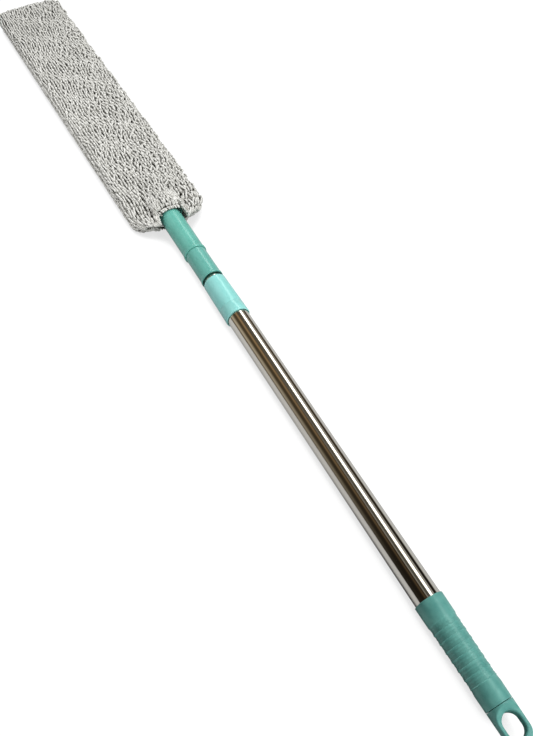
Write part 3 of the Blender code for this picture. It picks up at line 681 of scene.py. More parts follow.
def paddleSection(start, station):
    sizes = paddleSizes
    share = min(max((station - sizes["neckLength"]) / sizes["spineLength"], 0), 1)
    spine = sizes["neckRadius"] * (1 + math.cos(math.pi * share)) / 2
    flareShare = (station - sizes["neckLength"] + sizes["bladeFromNeckEnd"]) / sizes["flare"]
    flareShare = min(max(flareShare, 0), 1)
    ease = 0.35 * (1 - math.cos(math.pi * flareShare)) + 0.3 * flareShare * (2 - flareShare)
    width = sizes["flareStart"] + (sizes["halfWidth"] - sizes["flareStart"]) * ease
    fromTip = sizes["neckLength"] + sizes["bladeLength"] - station
    inset = min(max(1 - fromTip / sizes["corner"], 0), 1)
    width -= sizes["corner"] * (1 - math.sqrt(1 - inset**2))
    width = max(width, spine)
    thick = sizes["halfThickness"] if flareShare > 0 else 0
    ring = []
    for i in range(sizes["around"]):
        angle = 2 * math.pi * (i + 0.5) / sizes["around"]
        across = width * math.cos(angle)
        round_ = math.sqrt(max(spine**2 - across**2, 0))
        edge = (abs(across) - (width - thick)) / max(thick, 0.00001)
        flat = thick * math.sqrt(max(1 - max(edge, 0) ** 2, 0))
        height = max(round_, flat)
        gap = abs(round_ - flat)
        if gap < sizes["fillet"] and spine > thick and thick > 0:
            height += (sizes["fillet"] - gap) ** 2 / (4 * sizes["fillet"])
        place = (start + station, across + leanAt(start + station))
        ring.append((*place, axisHeight + math.copysign(height, math.sin(angle))))
    return ring


def makePaddle():
    sizes = paddleSizes
    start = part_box("paddle")[0].x
    lip = sizes["neckRadius"] + sizes["lip"]
    edge = sizes["edge"]
    stations = [sizes["neckLength"] - sizes["bladeFromNeckEnd"] - 0.004]
    stations += [stations[0] + 0.0015 * i for i in range(1, 40)]
    stations += [stations[-1] + 0.005 * i for i in range(1, 6)]
    tip = sizes["neckLength"] + sizes["bladeLength"]
    middle = stations[-1]
    stations += [middle + (tip - 0.014 - middle) * i / 24 for i in range(1, 25)]
    stations += [tip - sizes["corner"] * (1 - math.sin(math.pi / 2 * i / 14)) for i in range(14)]
    stations.append(tip - 0.0004)
    rings = [paddleSection(start, station) for station in stations]
    blade = loftPiece("paddle_blade", rings)
    outline = [(start + sizes["neckLength"] - 0.008, 0)]
    outline.append((start + sizes["neckLength"] - 0.008, sizes["neckRadius"]))
    for i in range(9):
        share = i / 8
        x = start + sizes["lipLength"] * (2 - share)
        outline.append((x, sizes["neckRadius"] + sizes["lip"] * share**2))
    outline += arcPoints(start + edge, lip - edge, edge, 90, 180)
    outline += [
        (start, sizes["socketRadius"]),
        (start + sizes["socketLength"], sizes["socketRadius"]),
        (start + sizes["socketLength"], 0),
    ]
    neck = turnPiece("paddle_neck", outline)
    cutOrJoin(neck, blade, "UNION")
    neck.name = "paddle_fine"
    dress(neck, "head", "teal_plastic", plastics["neck"], "paddle")


makePaddle()
print("paddle made")


# small pieces that keep their CAD shapes

keptNodes = {
    "end_plug": plastics["nylon"],
    "collar_guide_bush": plastics["nylon"],
    "lock_expander": plastics["lock"],
    "lock_cone_nut": plastics["lock"],
    "lock_plug": plastics["lock"],
    "lock_spindle": steels["zinc"],
    "lock_end_washer": steels["zinc"],
    "lock_end_nut": steels["zinc"],
}
for nodeName, finish in keptNodes.items():
    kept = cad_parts[nodeName]
    kept.data.materials.clear()
    kept.data.materials.append(finish)


# sleeve: its cloth, its loops and the hem of its mouth

sleeveSizes = {
    "mouth": 0.0489,
    "length": 0.4075,
    "pocketHalf": 0.0325,
    "pocketEnd": 0.4499,
    "pocketHeight": 0.002,
    "seam": 0.0038,
    "endSeam": 0.0065,
    "widening": 0.0019,
    "mouthCorner": 0.0095,
    "tipCorner": 0.009,
    "endRound": 0.007,
    "tunnelHalf": 0.016,
    "tunnelPower": 1.5,
    "mouthHalf": 0.0175,
    "mouthPower": 0.8,
    "mouthBlend": 0.022,
    "neckRadius": 0.01005,
    "neckPlay": 0.00035,
    "neckEnd": 0.0509,
    "spineLength": 0.074,
    "lining": 0.0012,
    "frontPile": 0.0075,
    "edgeShare": 0.35,
    "flatBack": 0.74,
    "lipStart": 0.0107,
    "lipBlend": 0.0028,
    "lipHalf": 0.0365,
    "lipAlong": 0.03,
    "lipGap": 0.0023,
    "lipFrom": 0.001,
    "lipOver": 0.006,
    "seamClosing": 0.85,
    "pileQuarter": 0.0085,
    "pileDrop": 0.0026,
}
lipReach = {"front": 0.0155, "back": 0.004}


def smooth(value):
    value = np.clip(value, 0, 1)
    return value * value * (3 - 2 * value)


def besideNeck(y):
    # 0 over the neck and 1 where the mouth is closed beside it
    return smooth((np.abs(y) - sleeveSizes["lipStart"]) / sleeveSizes["lipBlend"])


def reachAt(side, x, y):
    # how far the closed lips stand out beyond the mouth: most beside the neck, none at the corners
    sizes = sleeveSizes
    nearMouth = 1 - smooth((x - sizes["mouth"]) / sizes["lipAlong"])
    inward = np.clip(1 - (y / sizes["lipHalf"]) ** 2, 0, 1)
    return lipReach[side] * inward * besideNeck(y) * nearMouth


def halfWidthAt(x):
    sizes = sleeveSizes
    along = x - sizes["mouth"]
    half = sizes["pocketHalf"] + sizes["seam"] + sizes["widening"] * along / sizes["length"]
    for corner, fromEnd in (
        (sizes["mouthCorner"], along),
        (sizes["tipCorner"], sizes["length"] - along),
    ):
        inset = np.clip(1 - fromEnd / corner, 0, 1)
        half = half - corner * (1 - np.sqrt(1 - inset**2))
    return half


def roofAt(x, y):
    # height of the pocket's roof over the blade: raised over the neck and spine, closed at the seam
    sizes = sleeveSizes
    share = np.clip((x - sizes["neckEnd"]) / sizes["spineLength"], 0, 1)
    spine = sizes["neckRadius"] * (1 + np.cos(np.pi * share)) / 2
    rise = np.maximum(spine + sizes["neckPlay"] - sizes["pocketHeight"], 0)
    bow = np.clip(1 - (y / sizes["tunnelHalf"]) ** 2, 0, 1) ** sizes["tunnelPower"]
    wide = np.clip(1 - (y / sizes["mouthHalf"]) ** 2, 0, 1) ** sizes["mouthPower"]
    nearMouth = 1 - smooth((x - sizes["mouth"]) / sizes["mouthBlend"])
    bow = bow + (wide - bow) * nearMouth
    pocket = np.minimum(sizes["pocketHalf"], halfWidthAt(x) - sizes["seam"])
    side = (np.abs(y) - pocket) / sizes["seam"]
    end = (x - sizes["pocketEnd"]) / sizes["endSeam"]
    closed = smooth(np.maximum(side, end))
    lip = smooth((sizes["mouth"] - sizes["lipFrom"] - x) / sizes["lipOver"]) * besideNeck(y)
    height = sizes["pocketHeight"] + rise * bow
    height = height * (1 - sizes["seamClosing"] * closed)
    return height - (height - sizes["lipGap"]) * lip * (1 - closed)


def lengthProfile(a):
    # place along the sleeve, and the share of the pile's height
    sizes = sleeveSizes
    quarter = sizes["pileQuarter"]
    flat = sizes["length"] - 2 * sizes["endRound"]
    fromMiddle = np.abs(a)
    over = np.clip((fromMiddle - flat / 2) / quarter, 0, 1) * np.pi / 2
    past = np.maximum(fromMiddle - flat / 2 - quarter, 0)
    down = np.clip(past / sizes["pileDrop"], 0, 1)
    out = np.minimum(fromMiddle, flat / 2) + sizes["endRound"] * np.sin(over)
    edge = sizes["edgeShare"]
    share = (edge + (1 - edge) * np.cos(over)) * (1 - down)
    x = sizes["mouth"] + sizes["length"] / 2 + np.sign(a) * out
    return x, share


def crossTable(crown, pile):
    # walk over the section from the middle to the seam, for the share of the half width and height
    half = 0.0372
    y = np.linspace(0, 1, 400)
    h = crown(y)
    y = np.append(y, np.ones(40))
    h = np.append(h, np.linspace(h[-1], 0, 40))
    steps = np.hypot(np.diff(y) * half, np.diff(h) * pile)
    walked = np.concatenate([[0], np.cumsum(steps)])
    return walked, y, h


def frontCrown(y):
    edge = sleeveSizes["edgeShare"]
    return edge + (1 - edge) * np.sqrt(np.clip(1 - y**4, 0, 1))


def backCrown(y):
    edge = sleeveSizes["edgeShare"]
    inset = np.clip((y - sleeveSizes["flatBack"]) / (1 - sleeveSizes["flatBack"]), 0, 1)
    return edge + (1 - edge) * np.sqrt(1 - inset**2)


backPile = axisHeight - sleeveSizes["pocketHeight"]
sides = {
    "front": {"sign": 1, "pile": sleeveSizes["frontPile"], "seed": 0,
              "table": crossTable(frontCrown, sleeveSizes["frontPile"])},
    "back": {"sign": -1, "pile": backPile, "seed": 100,
             "table": crossTable(backCrown, backPile)},
}


def pilePoint(side, a, w):
    # a point on top of the pile, from the distances walked along it and across it
    facts = sides[side]
    walked, yShares, hShares = facts["table"]
    x, lengthShare = lengthProfile(a)
    yShare = np.interp(np.abs(w), walked, yShares) * np.sign(w)
    y = yShare * halfWidthAt(x)
    x = x - reachAt(side, x, y)
    height = np.interp(np.abs(w), walked, hShares) * lengthShare * facts["pile"]
    z = roofAt(x, y) + height
    if side == "back":
        z = np.minimum(z, axisHeight)
    return np.stack([x, y + leanAt(x), axisHeight + facts["sign"] * z], axis=-1)


def pileNormal(side, a, w):
    step = 0.0006
    along = pilePoint(side, a + step, w) - pilePoint(side, a - step, w)
    across = pilePoint(side, a, w + step) - pilePoint(side, a, w - step)
    normal = np.cross(along, across) * sides[side]["sign"]
    size = np.linalg.norm(normal, axis=-1, keepdims=True)
    return normal / np.maximum(size, 1e-12)


def sweepStrands(name, centres, normals, radii, tone, depth, aroundCount):
    # centres is strands x points x 3, and every strand becomes a closed tube
    count, points, _ = centres.shape
    tangents = np.gradient(centres, axis=1)
    tangents /= np.maximum(np.linalg.norm(tangents, axis=-1, keepdims=True), 1e-12)
    across = np.cross(tangents, normals)
    across /= np.maximum(np.linalg.norm(across, axis=-1, keepdims=True), 1e-12)
    up = np.cross(across, tangents)
    angles = 2 * np.pi * (np.arange(aroundCount) / aroundCount + 0.25)
    ring = (
        across[:, :, None, :] * np.cos(angles)[None, None, :, None]
        + up[:, :, None, :] * np.sin(angles)[None, None, :, None]
    )
    verts = centres[:, :, None, :] + ring * radii[:, :, None, None]
    verts = verts.reshape(-1, 3)
    base = np.arange(points - 1)[:, None] * aroundCount
    here = np.arange(aroundCount)[None, :]
    there = (here + 1) % aroundCount
    after = base + aroundCount
    quads = np.stack([base + here, base + there, after + there, after + here], -1)
    quads = quads.reshape(-1, 4)
    offsets = np.arange(count) * points * aroundCount
    allQuads = (quads[None] + offsets[:, None, None]).reshape(-1, 4)
    capStart = np.arange(aroundCount)[::-1]
    capEnd = np.arange(aroundCount) + (points - 1) * aroundCount
    caps = np.stack([capStart, capEnd])
    allCaps = (caps[None] + offsets[:, None, None]).reshape(-1, aroundCount)
    loops = np.concatenate([allQuads.ravel(), allCaps.ravel()])
    sizes = np.concatenate([np.full(len(allQuads), 4), np.full(len(allCaps), aroundCount)])
    starts = np.concatenate([[0], np.cumsum(sizes)[:-1]])
    mesh = bpy.data.meshes.new(name)
    mesh.vertices.add(len(verts))
    mesh.vertices.foreach_set("co", verts.astype(np.float32).ravel())
    mesh.loops.add(len(loops))
    mesh.loops.foreach_set("vertex_index", loops.astype(np.int32))
    mesh.polygons.add(len(sizes))
    mesh.polygons.foreach_set("loop_start", starts.astype(np.int32))
    mesh.update(calc_edges=True)
    mesh.validate()
    mesh.shade_smooth()
    # yarn coordinates: turns round the strand and millimetres along it
    lengths = np.linalg.norm(np.diff(centres, axis=1), axis=-1).cumsum(axis=1)
    lengths = np.concatenate([np.zeros((count, 1)), lengths], axis=1)
    turns = np.arange(aroundCount) / aroundCount
    vertexU = np.broadcast_to(turns[None, None, :], (count, points, aroundCount)).ravel()
    vertexV = np.broadcast_to(lengths[:, :, None] * 1000, (count, points, aroundCount)).ravel()
    pairs = np.stack([vertexU[loops], vertexV[loops]], -1)
    # the last column of each ring closes at one turn and not back at zero
    quadU = pairs[: len(allQuads) * 4, 0].reshape(-1, 4)
    wraps = quadU.max(axis=1) > 0.7
    quadU[wraps] = np.where(quadU[wraps] < 0.3, 1.0, quadU[wraps])
    pairs[: len(allQuads) * 4, 0] = quadU.ravel()
    uv = mesh.uv_layers.new(name="yarn")
    uv.data.foreach_set("uv", pairs.astype(np.float32).ravel())
    # painted shade: the side that faces the ground is darker, standing in for the shade that the
    # yarn's neighbours cast on it
    paintedFacingShade = 0.3 + 0.7 * smooth((np.sin(angles) + 0.7) / 1.1)
    for label, values in (
        ("strandTone", np.repeat(tone[:, :, None], aroundCount, axis=2)),
        ("strandPaintedShade", depth[:, :, None] * paintedFacingShade[None, None, :]),
    ):
        attribute = mesh.attributes.new(label, "FLOAT", "POINT")
        attribute.data.foreach_set("value", values.astype(np.float32).ravel())
    piece = bpy.data.objects.new(name, mesh)
    bpy.context.scene.collection.objects.link(piece)
    return piece


yarnLook = {
    "light": (0.78, 0.775, 0.74),
    "shade": (0.53, 0.525, 0.485),
    "paintedShadeColour": (0.31, 0.305, 0.27),
    "roughness": 0.85,
    "plies": 2.0,
    "twist": 0.14,
    "plyHeight": 0.6,
    "sheen": 0.25,
    "gloss": 0.15,
    "plyTone": 0.5,
    "plyRise": 0.0004,
    "fibreScale": 2500,
    "fibreHeight": 0.4,
}


def makeYarn():
    material, tree = newMaterial("microfiberYarn")
    split = addNode(tree, "SeparateXYZ", {
        "Vector": addNode(tree, "UVMap", uv_map="yarn").outputs["UV"],
    }).outputs
    # plies wind round the strand: turns plus a share of each millimetre
    wind = addMath(tree, "MULTIPLY_ADD", split["Y"], yarnLook["twist"], split["X"])
    turns = addMath(tree, "MULTIPLY", wind, 2 * math.pi * yarnLook["plies"])
    ply = addRange(tree, addMath(tree, "COSINE", turns), -1, 1)
    tone, depth = (
        addNode(tree, "Attribute", attribute_name=name).outputs["Fac"]
        for name in ("strandTone", "strandPaintedShade")
    )
    mixed = addMath(tree, "MULTIPLY_ADD", ply, yarnLook["plyTone"], tone)
    # painted shade: the colour goes from the ply tones to the dark shade colour where the strand's
    # painted lit share falls
    colour = addNode(tree, "Mix", {
        "Factor": depth, "A": (*yarnLook["paintedShadeColour"], 1),
        "B": twoTone(tree, mixed, yarnLook["shade"], yarnLook["light"]),
    }, data_type="RGBA").outputs["Result"]
    place = addNode(tree, "TexCoord").outputs["Object"]
    fibre = addNode(tree, "TexNoise", {"Vector": place, "Scale": yarnLook["fibreScale"]})
    height = addMath(tree, "MULTIPLY_ADD", fibre.outputs["Fac"], yarnLook["fibreHeight"], ply)
    setInputs(tree, tree.nodes["Principled BSDF"], {
        "Sheen Weight": yarnLook["sheen"], "Roughness": yarnLook["roughness"],
        "Specular IOR Level": yarnLook["gloss"], "Base Color": colour,
        "Normal": addBump(tree, height, yarnLook["plyHeight"], yarnLook["plyRise"]),
    })
    return material


def makeCloth(name, dark, light):
    # knitted ground of the sleeve and its binding: small ribs across each other
    material, tree = newMaterial(name)
    place = addNode(tree, "TexCoord").outputs["Object"]
    waves = []
    for direction, scale in (("X", 260), ("Y", 420)):
        inputs = {"Vector": place, "Scale": scale, "Distortion": 2.5, "Detail": 2}
        waves.append(addNode(tree, "TexWave", inputs, bands_direction=direction).outputs["Fac"])
    knit = addMath(tree, "MULTIPLY", *waves)
    setInputs(tree, tree.nodes["Principled BSDF"], {
        "Roughness": 0.95, "Specular IOR Level": 0.1,
        "Base Color": twoTone(tree, knit, dark, light), "Normal": addBump(tree, knit, 0.5, 0.0004),
    })
    return material


yarn = makeYarn()
ground = makeCloth("sleeveGround", (0.24, 0.235, 0.205), (0.42, 0.41, 0.37))
# the mouth's binding is painted dark, so that its front edge shows as a shade line beneath the
# overcast loops
binding = makeCloth("mouthBindingPaintedShade", (0.16, 0.15, 0.13), (0.34, 0.33, 0.30))

clothSizes = {
    "thickness": 0.0007, "above": 0.0001, "rowStep": 0.006, "columns": 48, "margin": 0.0008,
}


def makeGroundCloth(side):
    # the knitted ground: a sheet a little above the pocket, closed down to the seam at its edges
    sign = sides[side]["sign"]
    bpy.ops.object.select_all(action="DESELECT")
    rows = int(sleeveSizes["length"] / clothSizes["rowStep"])
    bpy.ops.mesh.primitive_grid_add(
        x_subdivisions=rows, y_subdivisions=clothSizes["columns"], size=2,
        location=(0, 0, 0),
    )
    cloth = bpy.context.object
    cloth.name = "sleeve_ground_" + side
    places = np.empty(len(cloth.data.vertices) * 3)
    cloth.data.vertices.foreach_get("co", places)
    places = places.reshape(-1, 3)
    along = (places[:, 0] + 1) / 2
    margin = clothSizes["margin"]
    first = sleeveSizes["mouth"] + margin
    last = sleeveSizes["mouth"] + sleeveSizes["length"] - margin
    x = first + (last - first) * along
    y = places[:, 1] * (halfWidthAt(x) - margin)
    x = x - 0.85 * reachAt(side, x, y)
    z = roofAt(x, y) + clothSizes["above"]
    if side == "back":
        z = np.minimum(z, axisHeight - clothSizes["thickness"] - 0.0002)
    shaped = np.stack([x, y + leanAt(x), axisHeight + sign * z], -1)
    cloth.data.vertices.foreach_set("co", shaped.ravel())
    cloth.data.update()
    if sign < 0:
        bpy.ops.object.mode_set(mode="EDIT")
        bpy.ops.mesh.select_all(action="SELECT")
        bpy.ops.mesh.flip_normals()
        bpy.ops.object.mode_set(mode="OBJECT")
    solid = cloth.modifiers.new("thickness", "SOLIDIFY")
    solid.thickness = clothSizes["thickness"]
    solid.offset = 1
    applyAll(cloth)
    smoothEdges(50)
    return cloth


# loops of yarn: they lie end to end in rows along the head and dive into the ground at both ends
pileSizes = {
    "strandRadius": 0.00098,
    "pitch": 0.0026,
    "shortLoop": 0.0034,
    "longLoop": 0.0078,
    "longEdgeLoop": 0.017,
    "dive": 0.0015,
    "diveOver": 0.0013,
    "rise": 0.0003,
    "sideways": 0.00025,
    "turnCalm": 0.12,
    "turnWild": 0.3,
    "edgeCalm": 0.018,
    "neckRows": (0.0098, 0.016, 0.0015),
    "neckRowLength": 0.022,
    "neckRoom": 0.0028,
    "beyondEnds": 0.0026,
    "besideSeam": 0.0015,
    "firstOffset": 0.0006,
    "firstSpread": 0.0009,
    "diveSpread": (0.7, 1.4),
    "riseLimits": (-0.001, 0.0012),
    "radiusSpread": (0.88, 1.1),
    "toneSpread": (0.15, 0.7),
    "endThinning": 0.3,
    "endShade": 0.6,
    "around": 6,
}
# the rows sway from side to side in slow waves: reach, length along, length across
rowWaves = [(0.0013, 0.097, 0.12), (0.0008, 0.043, -0.05), (0.0003, 0.019, 0.0061)]
# each layer's lit share is painted shade: the under layer is painted darker, as it lies in the
# shade of the top one
layers = {
    "top": {"sink": 0.0, "seed": 11, "apart": 1.0, "depth": 1.0, "points": 10},
    "under": {"sink": 0.0022, "seed": 23, "apart": 1.25, "depth": 0.6, "points": 7},
}


def layRows(side, layer):
    # where each loop starts along the head, its length and the row that it lies in
    sizes = pileSizes
    rng = np.random.default_rng(layers[layer]["seed"] + sides[side]["seed"])
    reach = sides[side]["table"][0][-1] - sizes["besideSeam"]
    last = sleeveSizes["length"] / 2 + sizes["beyondEnds"]
    count = round(2 * reach / (sizes["pitch"] * layers[layer]["apart"])) + 1
    rows = [(row, last) for row in np.linspace(-reach, reach, count)]
    # more rows where the mouth falls from the neck to its closed lips
    for row in np.arange(*sizes["neckRows"]):
        end = -last + sizes["neckRowLength"]
        rows += [(row, end), (-row, end)]
    loops = []
    for row, end in rows:
        # the loops are longer beside one long edge
        calm = 1 - smooth((reach - row) / sizes["edgeCalm"])
        longest = sizes["longLoop"] + (sizes["longEdgeLoop"] - sizes["longLoop"]) * calm
        a = -last - sizes["firstOffset"] + rng.uniform(0, sizes["firstSpread"])
        while a < end:
            length = rng.uniform(sizes["shortLoop"], longest)
            loops.append((a, length, row))
            a += length
    return np.array(loops), reach, rng


def scatterLoops(side, layer):
    sizes = pileSizes
    facts = layers[layer]
    loops, reach, rng = layRows(side, layer)
    count, points = len(loops), facts["points"]
    start, length, row = (loops[:, k:k + 1] for k in range(3))
    share = np.linspace(0, 1, points)
    # points crowd towards the ends, where the loop turns down
    share = ((share + 0.8 * smooth(share)) / 1.8)[None, :]
    a = start + length * share
    fromEnd = np.minimum(share, 1 - share) * length
    inner = smooth((reach - np.abs(row)) / sizes["edgeCalm"])
    wild = smooth((0.025 - row) / 0.05)
    turn = rng.normal(0, 1, (count, 1)) * (
        sizes["turnCalm"] + (sizes["turnWild"] - sizes["turnCalm"]) * wild
    )
    sway = 0
    for amount, along, across in rowWaves:
        sway = sway + amount * np.sin(2 * np.pi * (a / along + row / across + rng.uniform()))
    w = row + sway * inner + turn * (share - 0.5) * length
    w = w + rng.normal(0, sizes["sideways"], (count, 1)) * (0.5 + wild)
    w = np.clip(w, -reach, reach)
    top = pilePoint(side, a, w)
    normals = pileNormal(side, a, w)
    dip = 1 - smooth(fromEnd / sizes["diveOver"])
    room = sizes["dive"] * rng.uniform(*sizes["diveSpread"], (count, 1))
    fuzzy = 1 + 3 * (1 - smooth((w[:, :1] + reach) / sizes["edgeCalm"]))
    rise = rng.normal(0, sizes["rise"], (count, 1)) * fuzzy
    down = sizes["strandRadius"] + facts["sink"] + dip * room
    if side == "front":
        down = down - np.clip(rise, *sizes["riseLimits"]) * (1 - dip)
    centres = top - normals * down[:, :, None]
    thinner = 1 - sizes["endThinning"] * dip
    radii = sizes["strandRadius"] * thinner * rng.uniform(*sizes["radiusSpread"], (count, 1))
    tone = np.repeat(rng.uniform(*sizes["toneSpread"], (count, 1)), points, axis=1)
    # painted shade: each loop darkens towards its ends, where it dives into the ground
    shade = facts["depth"] * (1 - sizes["endShade"] * dip)
    middle = points // 2
    keep = np.ones(count, bool)
    if side == "back":
        # no room for loops between the neck and the surface below
        spare = axisHeight - roofAt(top[:, middle, 0], top[:, middle, 1]) - sleeveSizes["lining"]
        keep = spare > sizes["neckRoom"] + facts["sink"]
    centres[:, :, 2] = np.maximum(centres[:, :, 2], radii + 0.00002)
    return centres[keep], normals[keep], radii[keep], tone[keep], shade[keep]


def makePile():
    pieces = {side: [] for side in sides}
    halfway = sleeveSizes["mouth"] + sleeveSizes["length"] / 2
    for side in sides:
        for layer in layers:
            facts = scatterLoops(side, layer)
            nearTip = facts[0][:, 0, 0] > halfway
            for part, chosen in (("mouth", ~nearTip), ("tip", nearTip)):
                name = "_".join(("loops", side, layer, part))
                strands = (values[chosen] for values in facts)
                piece = sweepStrands(name, *strands, pileSizes["around"])
                pieces[side].append(piece)
                print(name, int(chosen.sum()), "loops,", len(piece.data.polygons), "faces")
    return pieces


hemSizes = {
    "start": 0.0456,
    "width": 0.003,
    "wall": 0.0012,
    "half": 0.0305,
    "points": 132,
    "wraps": 72,
    "wrapRadius": 0.0008,
    "wrapOut": 0.0008,
    "wrapHalf": 0.0165,
    "straightHalf": 0.021,
    "drawBack": 80,
    "section": 10,
    "squareness": 0.6,
    "wrapPoints": 10,
    "wrapReach": (0.0006, 0.0017),
    "wrapLean": 0.0007,
    "wrapSlant": 0.0018,
    "wrapSizes": (0.75, 1.2),
    "wrapTones": (0.85, 1.1),
}


def mouthPath(count, grow):
    # the mouth's outline as seen along the pole: evenly spaced points and their directions
    half = hemSizes["half"] + grow
    y = np.linspace(-half, half, 400)
    z = roofAt(np.full_like(y, sleeveSizes["mouth"]), y) + grow
    path = np.concatenate([np.stack([y, z], -1), np.stack([y[::-1], -z[::-1]], -1)])
    path = np.concatenate([path, path[:1]])
    walked = np.concatenate([[0], np.cumsum(np.linalg.norm(np.diff(path, axis=0), axis=1))])
    at = np.linspace(0, walked[-1], count, endpoint=False)
    py = np.interp(at, walked, path[:, 0])
    pz = np.interp(at, walked, path[:, 1])
    dy = np.roll(py, -1) - np.roll(py, 1)
    dz = np.roll(pz, -1) - np.roll(pz, 1)
    size = np.hypot(dy, dz)
    return py, pz, dy / size, dz / size


def makeHem():
    sizes = hemSizes
    py, pz, alongY, alongZ = mouthPath(sizes["points"], sizes["wall"] / 2)
    halfWall = sizes["wall"] / 2 - 0.0001
    halfWidth = sizes["width"] / 2
    middleX = sizes["start"] + halfWidth
    count = len(py)
    verts, faces = [], []
    section = sizes["section"]
    square = sizes["squareness"]
    for i in range(count):
        for j in range(section):
            angle = 2 * math.pi * j / section
            along = math.copysign(abs(math.cos(angle)) ** square, math.cos(angle)) * halfWidth
            out = math.copysign(abs(math.sin(angle)) ** square, math.sin(angle)) * halfWall
            y = py[i] - alongZ[i] * out
            z = pz[i] + alongY[i] * out
            back = sizes["drawBack"] * max(abs(py[i]) - sizes["straightHalf"], 0) ** 2
            verts.append((middleX + back + along, y, axisHeight + z))
    for i in range(count):
        k = (i + 1) % count
        for j in range(section):
            m = (j + 1) % section
            faces.append((i * section + j, i * section + m, k * section + m, k * section + j))
    mesh = bpy.data.meshes.new("mouth_hem")
    mesh.from_pydata(verts, [], faces)
    hem = bpy.data.objects.new("mouth_hem", mesh)
    bpy.context.scene.collection.objects.link(hem)
    selectOnly(hem)
    bpy.ops.object.mode_set(mode="EDIT")
    closeEdit()
    smoothEdges(60)
    # overcast loops laid over the hem from its front edge to the pile
    wraps = sizes["wraps"]
    rng = np.random.default_rng(5)
    wy, wz, alongY, alongZ = mouthPath(wraps, sizes["wall"] / 2)
    flat = np.zeros(wraps)
    along = np.stack([flat, alongY, alongZ], -1)
    out = np.stack([flat, -alongZ, alongY], -1)
    centre = np.stack([flat + middleX, wy, axisHeight + wz], -1)
    count = sizes["wrapPoints"]
    t = np.linspace(0, 1, count)
    angle = np.pi * (0.95 * t + 0.02)
    reachX = rng.uniform(*sizes["wrapReach"], (wraps, 1))
    reachOut = sizes["wall"] / 2 + sizes["wrapOut"]
    lean = rng.normal(0.0, sizes["wrapLean"], wraps)
    points = (
        centre[:, None]
        - np.array([1.0, 0, 0])[None, None] * (reachX * np.cos(angle)[None, :])[:, :, None]
        + out[:, None] * (reachOut * np.maximum(np.sin(angle), -0.2))[None, :, None]
        + along[:, None] * ((t - 0.5)[None, :] * sizes["wrapSlant"] + lean[:, None])[:, :, None]
    )
    normals = np.repeat(out[:, None], count, axis=1) + np.array([-0.3, 0, 0])
    radii = np.full((wraps, count), sizes["wrapRadius"])
    radii = radii * rng.uniform(*sizes["wrapSizes"], wraps)[:, None]
    # none of them dips below the surface that the duster lies on
    points[:, :, 2] = np.maximum(points[:, :, 2], radii)
    tone = np.repeat(rng.uniform(*sizes["wrapTones"], wraps)[:, None], count, axis=1)
    shade = np.ones((wraps, count))
    # only over and under the neck, where the mouth isn't closed
    seen = np.abs(wy) < sizes["wrapHalf"]
    loops = sweepStrands(
        "mouth_overcast", points[seen], normals[seen], radii[seen], tone[seen], shade[seen], 6
    )
    return hem, loops


seamSizes = {"height": 0.0006, "inset": 0.0016, "points": 120}


def makeSeam():
    # the join of the two halves: a narrow tape between the loops of both sides
    first = sleeveSizes["mouth"] + 0.004
    last = sleeveSizes["mouth"] + sleeveSizes["length"] - seamSizes["inset"]
    stations = np.linspace(first, last, seamSizes["points"])
    half = halfWidthAt(stations) - seamSizes["inset"]
    outer = list(zip(stations, half))
    outer += [(x, -y) for x, y in reversed(outer)]
    pocket = sleeveSizes["pocketHalf"]
    end = sleeveSizes["pocketEnd"]
    inner = [(stations[0], pocket), (end, pocket), (end, -pocket), (stations[0], -pocket)]
    outline = outer + list(reversed(inner))
    curve = bpy.data.curves.new("edge_seam", "CURVE")
    curve.dimensions = "2D"
    curve.fill_mode = "BOTH"
    curve.extrude = seamSizes["height"]
    spline = curve.splines.new("POLY")
    spline.points.add(len(outline) - 1)
    for point, (x, y) in zip(spline.points, outline):
        point.co = (x, y + leanAt(x), 0, 1)
    spline.use_cyclic_u = True
    seam = bpy.data.objects.new("edge_seam", curve)
    bpy.context.scene.collection.objects.link(seam)
    selectOnly(seam)
    bpy.ops.object.convert(target="MESH")
    seam = bpy.context.object
    seam.data.transform(Matrix.Translation((0, 0, axisHeight)))
    bpy.ops.object.mode_set(mode="EDIT")
    closeEdit(2 * touching)
    return seam


def makeSleeve():
    grounds = {side: makeGroundCloth(side) for side in sides}
    loops = makePile()
    hem, overcast = makeHem()
    seam = makeSeam()
    for side, cloth in grounds.items():
        dress(cloth, "sleeve", "loop_pile", ground, "sleeve_" + side + "_panel")
    for piece in loops["front"] + loops["back"]:
        dress(piece, "sleeve", "loop_pile", yarn)
    dress(hem, "sleeve", "hem_tape", binding, "sleeve_opening_hem")
    dress(overcast, "sleeve", "hem_tape", yarn)
    dress(seam, "sleeve", "hem_tape", ground, "sleeve_edge_seam")


makeSleeve()
print("sleeve made")


# studio

studio = {
    "floorSize": 12.0,
    "floorGrey": 0.32,
    "floorSeenShare": 0.15,
    "floorGlow": 0.965,
    "floorDark": 0.02,
    "floorInGloss": 0.28,
    "contactReach": 0.03,
    "contactShadow": (0.42, 0.58, 0.72),
    "mirroredShadow": (0.9, 0.6),
    "mirrorEnds": (0.23, 0.58),
    "handleEnd": (-0.22, -0.34),
    "skyForLight": 0.14,
}
lights = {
    "key_strip": {"place": (-0.1, -0.8, 1.05), "size": (2.4, 0.6), "power": 20.5,
                  "target": (0, 0, axisHeight)},
    "head_strip": {"place": (0.19, 0.17, 0.27), "size": (0.56, 0.2), "power": 0.8,
                   "target": (0.2, 0, 0)},
    "fill_box": {"place": (-1.4, 0.1, 0.28), "size": (0.6, 0.3), "power": 6.0,
                 "target": (0.2, 0, axisHeight)},
}
